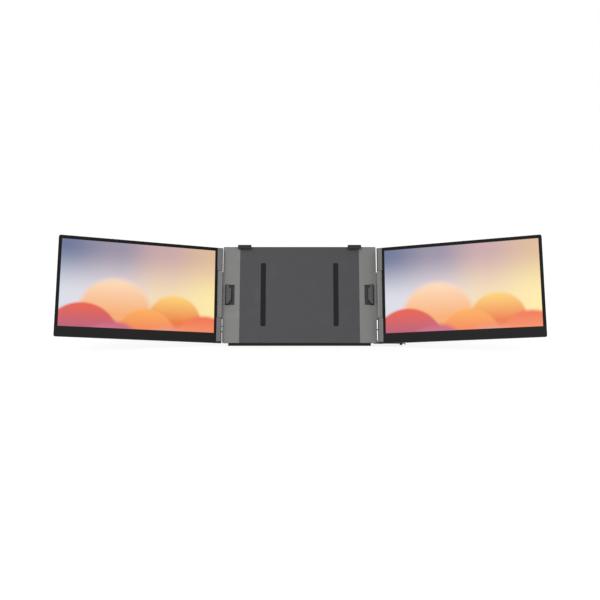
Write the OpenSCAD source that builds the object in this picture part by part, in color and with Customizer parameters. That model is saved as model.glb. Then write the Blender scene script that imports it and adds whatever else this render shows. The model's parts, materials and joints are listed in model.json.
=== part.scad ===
// Laptop screen extender: two portable monitors on hinges beside a bracket that has clips and a
// kickstand. Millimetres. +X is to the viewer's right, +Y away from the viewer, +Z up.
// The origin is the middle of the bracket's rubber foot, on the desk.
// Most pieces are drawn in an upright frame, which then leans back as one.

/* [Monitors] */
// Width of the lit display area
display_w = 342.6; // [300:0.1:380]
// Height of the lit display area
display_h = 192.9; // [170:0.1:215]
// Black border beside the display
bezel_side = 7; // [6:0.1:10]
// Black border over the display
bezel_top = 7.6; // [5:0.1:10]
// Black border under the display
chin_h = 22.8; // [20:0.1:30]
// Thickness of a monitor
monitor_t = 9; // [8.6:0.1:11]
// Corner radius of a monitor, seen from the front
monitor_corner_r = 4; // [2:0.5:5]
// Wall of the rear shell
shell_wall = 1.6; // [1.2:0.1:2]
// Thickness of the front bezel
bezel_t = 0.9; // [0.8:0.1:1.2]
// Thickness of the display glass
glass_t = 1.2; // [1:0.1:1.5]
// Thickness of the backlight
backlight_t = 2; // [1.5:0.1:2.2]
// How far the glass reaches under the bezel
glass_lap = 2.4; // [1.5:0.1:2.8]
// Angle that each monitor is turned towards the viewer from flat
turn = 20; // [5:1:60]

/* [Hinges] */
// From the hinge axis to a knuckle's inner face
knuckle_in = 6.4; // [5.4:0.1:6.8]
// Radius of the hinge washers
washer_r = 4; // [3.4:0.1:4.2]
// From the hinge axis to the monitor's near edge, where that isn't cut back for the hinge
edge_to_axis = 5.5; // [5.5:0.1:7]
// From one hinge axis to the far edge of the other monitor, when that is closed
end_gap = 9.9; // [9.5:0.1:14]
// From the bracket's side to the hinge axis
side_to_axis = 6.4; // [6.2:0.1:9]
// Height of the lower knuckle's foot over the monitor's foot
lower_knuckle_z = 4; // [3:0.1:5]
// Height of the lower knuckle
lower_knuckle_h = 54.8; // [45:0.1:65]
// Height of the upper knuckle
upper_knuckle_h = 53.6; // [45:0.1:60]
// Seam between a knuckle and the hinge arm
seam = 0.8; // [0.6:0.1:1.2]
// Radius of the hinge pins
pin_r = 1.6; // [1.4:0.1:2.2]
// Length of a hinge pin in the knuckle, and again in the arm
pin_half = 30; // [20:1:35]
// Thickness of a knuckle's web and of its leaf in the shell
leaf_t = 1.6; // [1.2:0.1:1.8]
// How far a knuckle's leaf reaches into the shell
leaf_w = 26; // [18:1:34]
// From a knuckle's cheek, in the monitor's edge, to the display glass
cheek_to_glass = 3; // [2.6:0.1:3.2]
// Room between the hinge arm and the monitor's edge that turns round it
arm_room = 1; // [1:0.1:1.8]
// How much higher the left monitor and its hinge are set
left_rise = 2.4; // [0:0.1:3]

/* [Bracket] */
// Angle that the bracket leans back from upright
lean = 15; // [14.5:0.5:18]
// Thickness of the bracket
plate_t = 9; // [8.6:0.1:11]
// Front panels and back wall of the bracket
panel_t = 1.8; // [1.5:0.1:2]
// Height of the bracket over the top of the monitors
plate_rise = 9.2; // [6:0.1:14]
// Height of the bracket's lower edge over the foot of the monitors
plate_z0 = 4.5; // [3:0.1:6]
// Width of each grey side frame
side_frame_w = 39.6; // [36:0.1:46]
// Outer wall of a side frame
side_wall = 2; // [1.6:0.1:2.4]
// Corner radius of the bracket
plate_corner_r = 3; // [1:0.5:4]
// Gap between the bracket's lowest corner and the desk
desk_gap = 4.5; // [4.4:0.1:4.9]
// Length of the rubber foot
foot_l = 330; // [200:1:335]
// How far the rubber foot spreads in front and behind
foot_spread = 1.5; // [0.5:0.1:2]
// Width of a lid pad
pad_w = 12; // [8:1:16]
// Length of a lid pad
pad_l = 150; // [80:1:170]
// Thickness of a lid pad
pad_t = 0.5; // [0.4:0.1:0.6]
// From a lid pad's middle to the side frame's inner edge
pad_in = 55; // [45:1:80]

/* [Lid clips] */
// Depth of the room between the bracket's front and the clips' lips
lid_room = 6.4; // [6:0.1:9]
// Thickness of a clip's lip
lip_t = 2; // [1.5:0.1:2.5]
// Thickness of a clip's rubber pad
clip_pad_t = 0.6; // [0.4:0.1:0.8]
// Room between what folds and what it folds over
fold_gap = 0.6; // [0.5:0.1:1.2]
// From a top clip's middle to the side frame's inner edge
top_clip_in = 11; // [11:1:22]
// Width of a top clip's hook
top_clip_w = 32; // [28:1:34]
// Thickness of a top clip's bridge
bridge_t = 2.8; // [2.4:0.1:4]
// How far a top clip's lip reaches down from the bridge
top_lip_h = 6.4; // [5:0.1:9]
// Width of a top clip's slider
slider_w = 22; // [18:1:24]
// Length of a top clip's slider
slider_l = 62; // [56:1:80]
// Thickness of the sliders
slider_t = 3.2; // [2.6:0.1:3.4]
// Travel of a top clip
top_travel = 25; // [10:1:28]
// Middle of the side clips over the foot of the monitors
side_clip_z = 117.7; // [100:0.1:130]
// Height of a side clip
side_clip_h = 46.8; // [36:0.1:50]
// Width of a side clip's block
side_clip_w = 8.4; // [6:0.1:10]
// Outer face of a side clip's block from the bracket's side
side_clip_in = 7; // [5:0.1:8]
// Height of a side clip's tongue
tongue_h = 33; // [20:0.1:36]
// How far a side clip's tongue reaches inwards
tongue_w = 4.6; // [3:0.1:6]
// Inward travel of a side clip
side_travel = 12; // [6:1:14]
// Outward travel of a side clip
side_release = 1.2; // [0.8:0.1:1.4]

/* [Kickstand] */
// Height of the kickstand's pivot over the foot of the monitors
kick_z = 178; // [174:1:186]
// Half the width of the kickstand
kick_half_w = 80; // [60:1:84]
// Thickness of the kickstand's plate
kick_t = 2; // [1.5:0.1:2.4]
// Radius of the kickstand's hinge barrel
kick_barrel_r = 3; // [2.8:0.1:3.5]
// Radius of the kickstand's pin
kick_pin_r = 1.4; // [1.2:0.1:1.6]
// Half the length of the kickstand's own barrel
kick_barrel_half = 48; // [30:1:60]
// Length of each hinge lug on the bracket
kick_lug_l = 10; // [6:1:16]
// Radius of the kickstand's rubber edge
kick_pad_r = 1.9; // [1.7:0.1:2.2]
// Height of the kickstand's rubber edge
kick_pad_h = 8; // [5:0.5:12]
// Gap between the folded kickstand's end and the bracket's lower edge
kick_end_gap = 0.8; // [0.5:0.1:1]

/* [Swing-out leg] */
// From the leg's pivot to its foot
leg_l = 59; // [50:1:70]
// Angle of the leg, forward of straight sideways
leg_angle = 0; // [0:1:30]
// Width of the leg
leg_w = 5.6; // [4:0.1:6]
// Height of the leg's bar
leg_h = 3.2; // [2.4:0.1:3.4]
// Height of the leg over the desk
leg_z = 3; // [2.6:0.1:3.2]
// Radius of the leg's hub
leg_hub_r = 4.8; // [4:0.1:5]
// Radius of the leg's pivot pin
leg_pin_r = 1.5; // [1.2:0.1:2]
// How far the leg's pull tab reaches past its foot
leg_tab_l = 11; // [8:0.5:14]

/* [Buttons and ports] */
// Radius of a push button
button_r = 1.4; // [1.1:0.1:1.6]
// How far a push button stands out when it is pressed in
button_proud = 2.4; // [0.4:0.1:2.8]
// Travel of a push button
button_travel = 0.8; // [0.4:0.1:1]
// Height of the power button over the foot of the monitors, on the left
power_button_z = 31.5; // [28:0.1:35]
// Height of the menu button over the foot of the monitors, on the left
menu_button_z = 43.7; // [40:0.1:48]
// Height of the input button over the foot of the monitors, on the right
input_button_z = 36; // [32:0.1:38]
// Height of the lower port over the foot of the monitors
lower_port_z = 20; // [19:0.1:22]
// Height of the upper port over the foot of the monitors
upper_port_z = 49; // [45:0.1:50]
// Length of a port's mouth
port_l = 8.9; // [8.5:0.1:9.2]
// Width of a port's mouth
port_w = 3.2; // [3:0.1:3.4]

/* [Hidden] */
$fn = 48;
slack = 0.1;          // fixed pieces that slip into each other
running = 0.3;        // moving pieces beside each other
bore_slack = 0.08;    // pins in their bores
through = 1;          // a cutter passes this far out of what it cuts

monitor_w = display_w + 2 * bezel_side;
monitor_h = display_h + bezel_top + chin_h;
half_t = monitor_t / 2;
far_edge = edge_to_axis + monitor_w;
cheek_x = edge_to_axis + bezel_side - glass_lap - cheek_to_glass;
arm_half = cheek_x + slack - arm_room;
hinge_corner_r = 3;       // corners of the knuckles and the arm, seen from above
axis_x = (far_edge + end_gap) / 2;
clip_front = lid_room + lip_t;
axis_y_left = clip_front + fold_gap + half_t;
axis_y_right = axis_y_left + monitor_t + fold_gap;
knuckle_top = monitor_h;
arm_z0 = lower_knuckle_z + lower_knuckle_h + seam;
arm_z1 = knuckle_top - upper_knuckle_h - seam;

side_x = axis_x - side_to_axis;
frame_x = side_x - side_frame_w;
pad_x = frame_x - pad_in;
top_clip_x = frame_x - top_clip_in;
plate_top = monitor_h + plate_rise;
back_in = plate_t - panel_t;
foot_mid = plate_t / 2 * cos(lean) + plate_z0 * sin(lean);
rise = desk_gap + plate_t * sin(lean) - plate_z0 * cos(lean);

// layers of a monitor, from the display side (-half_t) to the back (half_t)
glass_y = -half_t + bezel_t;
backlight_y = glass_y + glass_t;
board_room_y = backlight_y + backlight_t;
shell_back_y = half_t - shell_wall;

slider_y = panel_t + running;
rail_z0 = plate_top - slider_l + 4 + top_travel + 6;

side_post_x = side_x - side_clip_in;
side_slot_x = side_post_x - side_clip_w - side_travel - running;
side_slot_x1 = side_post_x + side_release + running;

kick_y = plate_t + kick_barrel_r + 0.2;
kick_pad_y = kick_pad_r - kick_barrel_r;
kick_plate_y = kick_pad_y - kick_t / 2;
kick_l = kick_z - plate_z0 - kick_end_gap - kick_pad_r;
kick_pivot = placed(kick_y, kick_z);
kick_lean = atan2(-kick_pad_y, kick_l)
    + acos((kick_pivot.y - kick_pad_r) / norm([kick_l, kick_pad_y]));
kick_open = kick_lean + lean;

back_foot = placed(plate_t, plate_z0);
leg_x = side_x - 2;
leg_y = back_foot.x + 7.3;
leg_top = leg_z + leg_h;
lug_z = leg_top + running;
lug_t = 4;

port_y = plate_t / 2 + 0.4;
port_depth = 7.4;
port_places = [lower_port_z, upper_port_z];
button_inner_l = 1.5;     // a push button's collar, inside the wall
button_collar = 0.8;      // how far the collar stands out round the button

// the hub board in the bracket, and the driver board in each monitor's chin
board_l = 60;
board_w = 40;
board_t = 1.2;
board_z = 14;
driver_l = 130;
driver_w = 15;
driver_x = edge_to_axis + 40;
driver_y = 0.4;
driver_z = shell_wall + 1;

screw_r = 0.9;
screw_bore_r = 0.95;
screw_head_r = 2.2;
screw_head_t = 1;
boss_r = 2.8;
cover_screw_x = frame_x - 40;
cover_screws = [for (x = [-cover_screw_x, 0, cover_screw_x], z = [plate_z0 + 18, plate_top - 26])
    [x, z]];
frame_screw_z = [board_z - 4, board_z + board_w + 12, side_clip_z + side_clip_h / 2 + 21,
    plate_top - 18];
frame_screws = [for (z = frame_screw_z) [side_x - 30, z]];
arm_screw_in = 18;        // the arm screws from the arm's ends
arm_screw_z = [arm_z0 + arm_screw_in, (arm_z0 + arm_z1) / 2, arm_z1 - arm_screw_in];

// the rear shell's posts behind the backlight, and behind the driver board
post_r = 3;
posts = [for (fx = [0.2, 0.5, 0.8], fz = [0.26, 0.72])
    [edge_to_axis + fx * monitor_w, chin_h + fz * display_h]];
driver_posts = [for (x = [driver_x + 8, driver_x + driver_l - 8], fz = [0.25, 0.75])
    [x, driver_z + fz * driver_w]];

upper_z = knuckle_top - upper_knuckle_h;
leaf_screw_in = 12;       // the leaf screws from a knuckle's ends
all_leaf_screws = concat(leaf_screw_places(upper_z, upper_knuckle_h),
    leaf_screw_places(lower_knuckle_z, lower_knuckle_h));

grey = [0.46, 0.46, 0.47];
dark_grey = [0.33, 0.33, 0.34];
black = [0.13, 0.13, 0.135];
steel = [0.72, 0.72, 0.74];
rubber_black = [0.09, 0.09, 0.09];
board_green = [0.08, 0.3, 0.18];

// [y, z] on the desk's own axes of a point [y, z] of the upright frame
function placed(y, z) = [y * cos(lean) + z * sin(lean) - foot_mid,
    z * cos(lean) - y * sin(lean) + rise];

// how far the hinge of one side is set above the other's place
function hinge_rise(side) = side < 0 ? left_rise : 0;

// [x, z] of the two screws through the leaf of a knuckle that stands on z0
function leaf_screw_places(z0, h) = [for (z = [z0 + leaf_screw_in, z0 + h - leaf_screw_in])
    [edge_to_axis + leaf_w - 6, z]];

// ---- placing ----

module leaned() {
    translate([0, -foot_mid, rise]) rotate([-lean, 0, 0]) children();
}

// side is 1 for the right and -1 for the left, which is its mirror image
module on_side(side) {
    mirror([side < 0 ? 1 : 0, 0, 0]) children();
}

module at_axis(side) {
    leaned() on_side(side)
        translate([axis_x, side < 0 ? -axis_y_left : -axis_y_right, hinge_rise(side)])
            children();
}

// a monitor's own frame: its hinge axis is at x = 0, it reaches along +x, its display faces -y
module on_monitor(side) {
    at_axis(side) rotate([0, 0, -turn]) children();
}

// ---- basic shapes ----

module rounded(x0, x1, y0, y1, r) {
    translate([x0 + r, y0]) square([x1 - x0 - 2 * r, y1 - y0]);
    translate([x0, y0 + r]) square([x1 - x0, y1 - y0 - 2 * r]);
    for (x = [x0 + r, x1 - r], y = [y0 + r, y1 - r]) translate([x, y]) circle(r);
}

// a slab from y0 to y1 whose front outline is a rectangle with rounded corners
module slab(x0, x1, z0, z1, y0, y1, r) {
    translate([0, y1, 0]) rotate([90, 0, 0]) linear_extrude(y1 - y0) rounded(x0, x1, z0, z1, r);
}

// an upright bar whose section is a rectangle with rounded corners
module bar(x0, x1, y0, y1, z0, z1, r) {
    translate([0, 0, z0]) linear_extrude(z1 - z0) rounded(x0, x1, y0, y1, r);
}

module block(x0, x1, y0, y1, z0, z1) {
    translate([x0, y0, z0]) cube([x1 - x0, y1 - y0, z1 - z0]);
}

// a round rod along y, from y0 to y1
module rod_y(x, z, y0, y1, r) {
    translate([x, y0, z]) rotate([-90, 0, 0]) cylinder(h = y1 - y0, r = r);
}

// a round rod along x, from x0 to x1
module rod_x(y, z, x0, x1, r) {
    translate([x0, y, z]) rotate([0, 90, 0]) cylinder(h = x1 - x0, r = r);
}

module ring(z0, z1, r_out, r_in) {
    translate([0, 0, z0]) difference() {
        cylinder(h = z1 - z0, r = r_out);
        translate([0, 0, -through]) cylinder(h = z1 - z0 + 2 * through, r = r_in);
    }
}

// ---- bracket ----

module screw_hole(x, z) {
    rod_y(x, z, back_in - through, plate_t + through, screw_bore_r + slack);
    rod_y(x, z, plate_t - screw_head_t - slack, plate_t + through, screw_head_r + slack);
}

module cover_boss(x, z) {
    difference() {
        rod_y(x, z, panel_t, back_in - slack, boss_r);
        rod_y(x, z, panel_t, back_in, screw_bore_r);
    }
}

module kick_lug(x0, x1) {
    difference() {
        union() {
            rod_x(kick_y, kick_z, x0, x1, kick_barrel_r);
            block(x0, x1, plate_t - 0.1, kick_y, kick_z - kick_barrel_r,
                kick_z + kick_barrel_r);
        }
        rod_x(kick_y, kick_z, x0 - through, x1 + through, kick_pin_r + bore_slack);
    }
}

// the back half of the bracket: back wall, upper and lower wall, and the kickstand's lugs
module back_housing() {
    inner_x = side_x - side_wall - slack;
    color(dark_grey) leaned() {
        difference() {
            union() {
                block(-inner_x, inner_x, back_in, plate_t, plate_z0, plate_top);
                for (z = [plate_z0, plate_top - side_wall])
                    block(-inner_x, inner_x, panel_t + slack, back_in + 0.1, z, z + side_wall);
            }
            for (s = cover_screws) screw_hole(s.x, s.y);
            for (s = frame_screws, side = [-1, 1]) screw_hole(side * s.x, s.y);
            for (side = [-1, 1])
                block(side * top_clip_x - slider_w / 2 - running,
                    side * top_clip_x + slider_w / 2 + running, slider_y - running,
                    slider_y + slider_t + running, plate_top - side_wall - through,
                    plate_top + through);
        }
        for (side = [-1, 1]) on_side(side)
            kick_lug(kick_barrel_half + running, kick_barrel_half + running + kick_lug_l);
    }
}

// the middle front panel, with bosses for the screws from behind
module front_cover() {
    color(black) leaned() {
        block(-frame_x + slack, frame_x - slack, 0, panel_t, plate_z0, plate_top);
        for (s = cover_screws) cover_boss(s.x, s.y);
    }
}

module side_frame(side) {
    color(grey) leaned() on_side(side) {
        difference() {
            union() {
                slab(frame_x, side_x, plate_z0, plate_top, 0, panel_t, plate_corner_r);
                block(frame_x, frame_x + plate_corner_r, 0, panel_t, plate_z0, plate_top);
                block(side_x - side_wall, side_x, panel_t - 0.1, plate_t,
                    plate_z0 + plate_corner_r, plate_top - plate_corner_r);
            }
            block(side_slot_x, side_slot_x1, -through, panel_t + through,
                side_clip_z - side_clip_h / 2 - 0.8, side_clip_z + side_clip_h / 2 + running);
            for (z = arm_screw_z)
                rod_x(plate_t / 2, z + hinge_rise(side), side_x - side_wall - through,
                    side_x + through, screw_bore_r + slack);
            if (side < 0) for (z = [power_button_z, menu_button_z]) button_bore(z);
            if (side > 0) button_bore(input_button_z);
            if (side > 0) for (z = port_places) port_form(z, slack, through);
        }
        for (s = frame_screws) cover_boss(s.x, s.y);
    }
}

module left_side_frame() { side_frame(-1); }
module right_side_frame() { side_frame(1); }

// the casting that carries the hinge: a flat-faced bar round the axis, which a monitor's edge
// turns clear of, on a riser from the side frame
module hinge_arm(side) {
    reach = side < 0 ? axis_y_left : axis_y_right;
    face_y = half_t + 0.5;
    bore = pin_r + bore_slack;
    color(grey) at_axis(side) difference() {
        union() {
            bar(-arm_half, arm_half, -half_t, face_y, arm_z0, arm_z1, hinge_corner_r);
            block(-side_to_axis, arm_half, 0, reach + plate_t, arm_z0, arm_z1);
        }
        translate([0, 0, arm_z0 - through])
            cylinder(h = arm_z1 - arm_z0 + 2 * through, r = bore);
        for (z = arm_screw_z)
            rod_x(reach + plate_t / 2, z, -side_to_axis - through, -side_to_axis + 7, screw_bore_r);
    }
}

module left_hinge_arm() { hinge_arm(-1); }
module right_hinge_arm() { hinge_arm(1); }

// soft strips on the front cover
module lid_pads() {
    mid = (plate_z0 + plate_top) / 2;
    color(rubber_black) leaned() for (side = [-1, 1])
        slab(side * pad_x - pad_w / 2, side * pad_x + pad_w / 2, mid - pad_l / 2,
            mid + pad_l / 2, -pad_t, 0, pad_w / 4);
}

// the rubber foot under the bracket, flat on the desk
module bracket_foot() {
    front = placed(0.4, plate_z0);
    back = placed(plate_t - 0.4, plate_z0);
    color(rubber_black) translate([-foot_l / 2, 0, 0]) rotate([90, 0, 90])
        linear_extrude(foot_l)
            polygon([front, back, [back.x + foot_spread, 0], [front.x - foot_spread, 0]]);
}

// plastic rails that the top clips' sliders run between
module clip_guides() {
    rail_w = 4;
    color(black) leaned() for (side = [-1, 1], edge = [-1, 1]) {
        x = side * top_clip_x + edge * (slider_w / 2 + running + rail_w / 2);
        block(x - rail_w / 2, x + rail_w / 2, panel_t + slack, back_in, rail_z0,
            plate_top - side_wall);
    }
}

// bowed leaf springs behind the sliders, which hold the clips where they are put
module clip_springs() {
    back = back_in;
    front = slider_y + slider_t + slack;
    leaf = 0.5;
    l = 10;
    color(steel) leaned() for (side = [-1, 1])
        translate([side * top_clip_x - 4, 0, rail_z0 + 10]) rotate([90, 0, 90])
            linear_extrude(8) polygon([[back, -l], [back - leaf, -l], [front, 0],
                [back - leaf, l], [back, l], [back, l - 2], [front + leaf, 0], [back, 2 - l]]);
}

module housing_screws() {
    color(steel) leaned() {
        for (s = cover_screws) back_screw(s.x, s.y);
        for (s = frame_screws, side = [-1, 1]) back_screw(side * s.x, s.y);
    }
}

module back_screw(x, z) {
    rod_y(x, z, panel_t + 1.2, plate_t - screw_head_t, screw_r);
    rod_y(x, z, plate_t - screw_head_t - 0.01, plate_t, screw_head_r);
}

// screws from inside the side frames into the hinge arms
module arm_screws() {
    wall_in = side_x - side_wall;
    color(steel) leaned() for (side = [-1, 1], height = arm_screw_z) on_side(side) {
        z = height + hinge_rise(side);
        rod_x(plate_t / 2, z, wall_in - screw_head_t, wall_in, screw_head_r);
        rod_x(plate_t / 2, z, wall_in - 0.01, side_x + 6, screw_r);
    }
}

// the circuit board that splits the signal to the two monitors, on the back wall
module hub_board() {
    x = side_x - side_wall - 7 - board_l;
    y = port_y - port_w / 2 - board_t;
    color(board_green) leaned() translate([x, y, board_z]) {
        block(0, board_l, 0, board_t, 0, board_w);
        block(0.17 * board_l, 0.4 * board_l, board_t, board_t + 1.4, 0.3 * board_w, 0.65 * board_w);
        block(0.53 * board_l, 0.67 * board_l, board_t, board_t + 1.2, 0.35 * board_w,
            0.55 * board_w);
        for (x = [4, board_l - 16], z = [4, board_w - 4]) difference() {
            rod_y(x, z, board_t, back_in - y, 2);
            rod_y(x, z, board_t, back_in - y, 0.8);
        }
    }
}

module port_form(z, gap, out) {
    r = port_w / 2 + gap;
    x0 = side_x - side_wall - port_depth;
    end = (port_l - port_w) / 2;
    for (e = [-1, 1]) rod_x(port_y, z + e * end, x0, side_x + out, r);
    block(x0, side_x + out, port_y - r, port_y + r, z - end, z + end);
}

// the two sockets on the right edge, steel shells on the hub board
module usb_ports() {
    tongue = 0.7;
    color(steel) leaned() for (z = port_places) {
        difference() {
            port_form(z, 0, 0);
            translate([1, 0, 0]) port_form(z, -0.35, through);
        }
        block(side_x - side_wall - port_depth, side_x - 1.5, port_y - tongue / 2,
            port_y + tongue / 2, z - 3, z + 3);
    }
}

module button_bore(z) {
    rod_x(plate_t / 2, z, side_x - side_wall - through, side_x + through,
        button_r + running / 2);
}

module push_button(side, z) {
    wall_in = side_x - side_wall;
    color(black) leaned() on_side(side) {
        rod_x(plate_t / 2, z, wall_in - button_inner_l, side_x + button_proud + button_travel,
            button_r);
        rod_x(plate_t / 2, z, wall_in - button_inner_l, wall_in - slack,
            button_r + button_collar);
    }
}

module power_button() { push_button(-1, power_button_z); }
module menu_button() { push_button(-1, menu_button_z); }
module input_button() { push_button(1, input_button_z); }

// ---- hinge pins ----

module hinge_pins(side) {
    color(steel) at_axis(side) {
        translate([0, 0, arm_z0 - pin_half]) cylinder(h = 2 * pin_half, r = pin_r);
        translate([0, 0, arm_z1 - pin_half]) cylinder(h = 2 * pin_half, r = pin_r);
    }
}

module left_hinge_pins() { hinge_pins(-1); }
module right_hinge_pins() { hinge_pins(1); }

module hinge_washers(side) {
    color(steel) at_axis(side) {
        ring(arm_z0 - seam + slack, arm_z0, washer_r, pin_r + bore_slack);
        ring(arm_z1, arm_z1 + seam - slack, washer_r, pin_r + bore_slack);
    }
}

module left_hinge_washers() { hinge_washers(-1); }
module right_hinge_washers() { hinge_washers(1); }

// ---- monitors ----

module shell_outline(y0, y1, inset) {
    slab(edge_to_axis + inset, far_edge - inset, inset, monitor_h - inset, y0, y1,
        max(monitor_corner_r - inset, 0.5));
}

// the knuckle's casting: a bar round the pin, a cheek as thick as the monitor, which closes its
// edge, and the leaf that is screwed into the rear shell
module knuckle(z0, h, gap) {
    leaf_x1 = edge_to_axis + shell_wall + slack + leaf_w;
    bar(-knuckle_in, hinge_corner_r + 1, -half_t, half_t, z0, z0 + h, hinge_corner_r);
    block(0, cheek_x + gap, -half_t - gap, half_t + gap, z0 - gap, z0 + h + gap);
    block(0, leaf_x1, shell_back_y - leaf_t, shell_back_y, z0 + 3, z0 + h - 3);
}

// what the knuckles and the arm take out of the edge of the shell and the bezel, with the corner
// under the lower knuckle
module knuckle_notches() {
    knuckle(lower_knuckle_z, lower_knuckle_h, slack);
    knuckle(upper_z, upper_knuckle_h, slack);
    for (z = [[-through, lower_knuckle_z], [lower_knuckle_z + lower_knuckle_h, upper_z]])
        block(0, cheek_x + slack, -half_t - through, half_t + through, z[0], z[1]);
}

// the shell's edge wall beside the arm
module arm_side_wall() {
    block(cheek_x + slack, cheek_x + slack + shell_wall, glass_y, shell_back_y + 0.1,
        lower_knuckle_z + lower_knuckle_h - 2, upper_z + 2);
}

// the shell's heel under the lower knuckle, which turns with it and is as thick
module knuckle_heel() {
    top = lower_knuckle_z - slack;
    bar(-knuckle_in, hinge_corner_r + 1, -half_t, half_t, 0, top, hinge_corner_r);
    block(0, cheek_x, -half_t, half_t, 0, top);
    block(0, cheek_x + slack + shell_wall, glass_y, half_t, 0, top);
}

module bored_knuckle(side, z0, h) {
    color(grey) on_monitor(side) difference() {
        knuckle(z0, h, 0);
        translate([0, 0, z0 - through])
            cylinder(h = h + 2 * through, r = pin_r + bore_slack);
        for (s = leaf_screw_places(z0, h))
            rod_y(s.x, s.y, shell_back_y - leaf_t - through, shell_back_y + through,
                screw_bore_r);
    }
}

module left_upper_knuckle() { bored_knuckle(-1, upper_z, upper_knuckle_h); }
module right_upper_knuckle() { bored_knuckle(1, upper_z, upper_knuckle_h); }
module left_lower_knuckle() { bored_knuckle(-1, lower_knuckle_z, lower_knuckle_h); }
module right_lower_knuckle() { bored_knuckle(1, lower_knuckle_z, lower_knuckle_h); }

module rear_shell(side) {
    color(dark_grey) on_monitor(side) {
        difference() {
            shell_outline(glass_y, half_t, 0);
            shell_outline(glass_y - through, shell_back_y, shell_wall);
            knuckle_notches();
            for (s = all_leaf_screws) {
                rod_y(s.x, s.y, shell_back_y - through, half_t + through, screw_bore_r + slack);
                rod_y(s.x, s.y, half_t - screw_head_t - slack, half_t + through,
                    screw_head_r + slack);
            }
        }
        arm_side_wall();
        knuckle_heel();
        for (s = posts) rod_y(s.x, s.y, board_room_y, shell_back_y + 0.1, post_r);
        for (s = driver_posts) rod_y(s.x, s.y, driver_y + board_t, shell_back_y + 0.1, post_r / 2);
    }
}

module left_rear_shell() { rear_shell(-1); }
module right_rear_shell() { rear_shell(1); }

module leaf_screws(side) {
    color(steel) on_monitor(side) for (s = all_leaf_screws) {
        rod_y(s.x, s.y, shell_back_y - leaf_t, half_t - screw_head_t, screw_r);
        rod_y(s.x, s.y, half_t - screw_head_t - 0.01, half_t, screw_head_r);
    }
}

module left_leaf_screws() { leaf_screws(-1); }
module right_leaf_screws() { leaf_screws(1); }

module front_bezel(side) {
    x0 = edge_to_axis + bezel_side;
    color(black) on_monitor(side) difference() {
        shell_outline(-half_t, glass_y, 0);
        block(x0, x0 + display_w, -half_t - through, glass_y + through, chin_h,
            chin_h + display_h);
        knuckle_notches();
    }
}

module left_front_bezel() { front_bezel(-1); }
module right_front_bezel() { front_bezel(1); }

module display_layer(side, y0, y1, lap) {
    x0 = edge_to_axis + bezel_side;
    on_monitor(side) block(x0 - lap, x0 + display_w + lap, y0, y1, chin_h - lap,
        chin_h + display_h + lap);
}

module left_display() { color([0.85, 0.6, 0.5]) display_layer(-1, glass_y, backlight_y, glass_lap); }
module right_display() { color([0.85, 0.6, 0.5]) display_layer(1, glass_y, backlight_y, glass_lap); }
module left_backlight() { color("white") display_layer(-1, backlight_y, board_room_y, glass_lap); }
module right_backlight() { color("white") display_layer(1, backlight_y, board_room_y, glass_lap); }

// the display's driver board, in the chin
module driver_board(side) {
    color(board_green) on_monitor(side) translate([driver_x, driver_y, driver_z]) {
        block(0, driver_l, 0, board_t, 0, driver_w);
        block(0.23 * driver_l, 0.32 * driver_l, -1.4, 0, 2, driver_w - 2);
        block(0.46 * driver_l, 0.52 * driver_l, -1, 0, 3, driver_w - 4);
        block(0.69 * driver_l, 0.92 * driver_l, -1.8, 0, driver_w - 5, driver_w - 1);
    }
}

module left_driver_board() { driver_board(-1); }
module right_driver_board() { driver_board(1); }

// ---- lid clips ----

module top_clip(side) {
    leaned() on_side(side) translate([top_clip_x, 0, plate_top + running]) children();
}

module top_hook(side) {
    w = top_clip_w / 2;
    back = slider_y + slider_t + 1;
    color(black) top_clip(side) difference() {
        union() {
            slab(-w, w, -top_lip_h, bridge_t, -clip_front, -lid_room, 2);
            block(-w + 2, w - 2, -lid_room - 0.1, back, 0, bridge_t);
        }
        block(-slider_w / 2 - slack / 2, slider_w / 2 + slack / 2, slider_y - slack / 2,
            slider_y + slider_t + slack / 2, -through, bridge_t - 1 + slack / 2);
    }
}

module top_slider(side) {
    ear = 3;
    z1 = bridge_t - 1;
    z0 = -slider_l;
    color(steel) top_clip(side) {
        block(-slider_w / 2, slider_w / 2, slider_y, slider_y + slider_t, z0, z1);
        block(-slider_w / 2 - ear, slider_w / 2 + ear, slider_y, slider_y + slider_t, z0, z0 + 4);
    }
}

module top_pad(side) {
    w = top_clip_w / 2 - 3;
    color(rubber_black) top_clip(side)
        slab(-w, w, 0.8 - top_lip_h, -0.2, -lid_room, clip_pad_t - lid_room, 1.5);
}

module left_top_hook() { top_hook(-1); }
module right_top_hook() { top_hook(1); }
module left_top_slider() { top_slider(-1); }
module right_top_slider() { top_slider(1); }
module left_top_pad() { top_pad(-1); }
module right_top_pad() { top_pad(1); }

module side_clip(side) {
    leaned() on_side(side) translate([side_post_x, 0, side_clip_z]) children();
}

// the block in the slot, and the tongue that reaches inwards from it
module side_hook(side) {
    color(grey) side_clip(side) {
        slab(-side_clip_w, 0, -side_clip_h / 2, side_clip_h / 2, -clip_front, panel_t + slack, 1);
        slab(-side_clip_w - tongue_w, -side_clip_w + 3, -tongue_h / 2, tongue_h / 2, -clip_front,
            -lid_room, 1);
    }
}

// the flat slider behind the side frame's face, which keeps the block in its slot
module side_slider(side) {
    grow = 2.5;
    color(steel) side_clip(side)
        block(-side_clip_w - 6, 0, panel_t + slack, panel_t + slack + slider_t,
            -side_clip_h / 2 - grow, side_clip_h / 2 + grow);
}

module side_pad(side) {
    color(rubber_black) side_clip(side)
        block(-side_clip_w - clip_pad_t, -side_clip_w, 0.2 - lid_room, -0.4, 2 - tongue_h / 2,
            tongue_h / 2 - 2);
}

module left_side_hook() { side_hook(-1); }
module right_side_hook() { side_hook(1); }
module left_side_slider() { side_slider(-1); }
module right_side_slider() { side_slider(1); }
module left_side_pad() { side_pad(-1); }
module right_side_pad() { side_pad(1); }

// ---- kickstand ----

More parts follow.
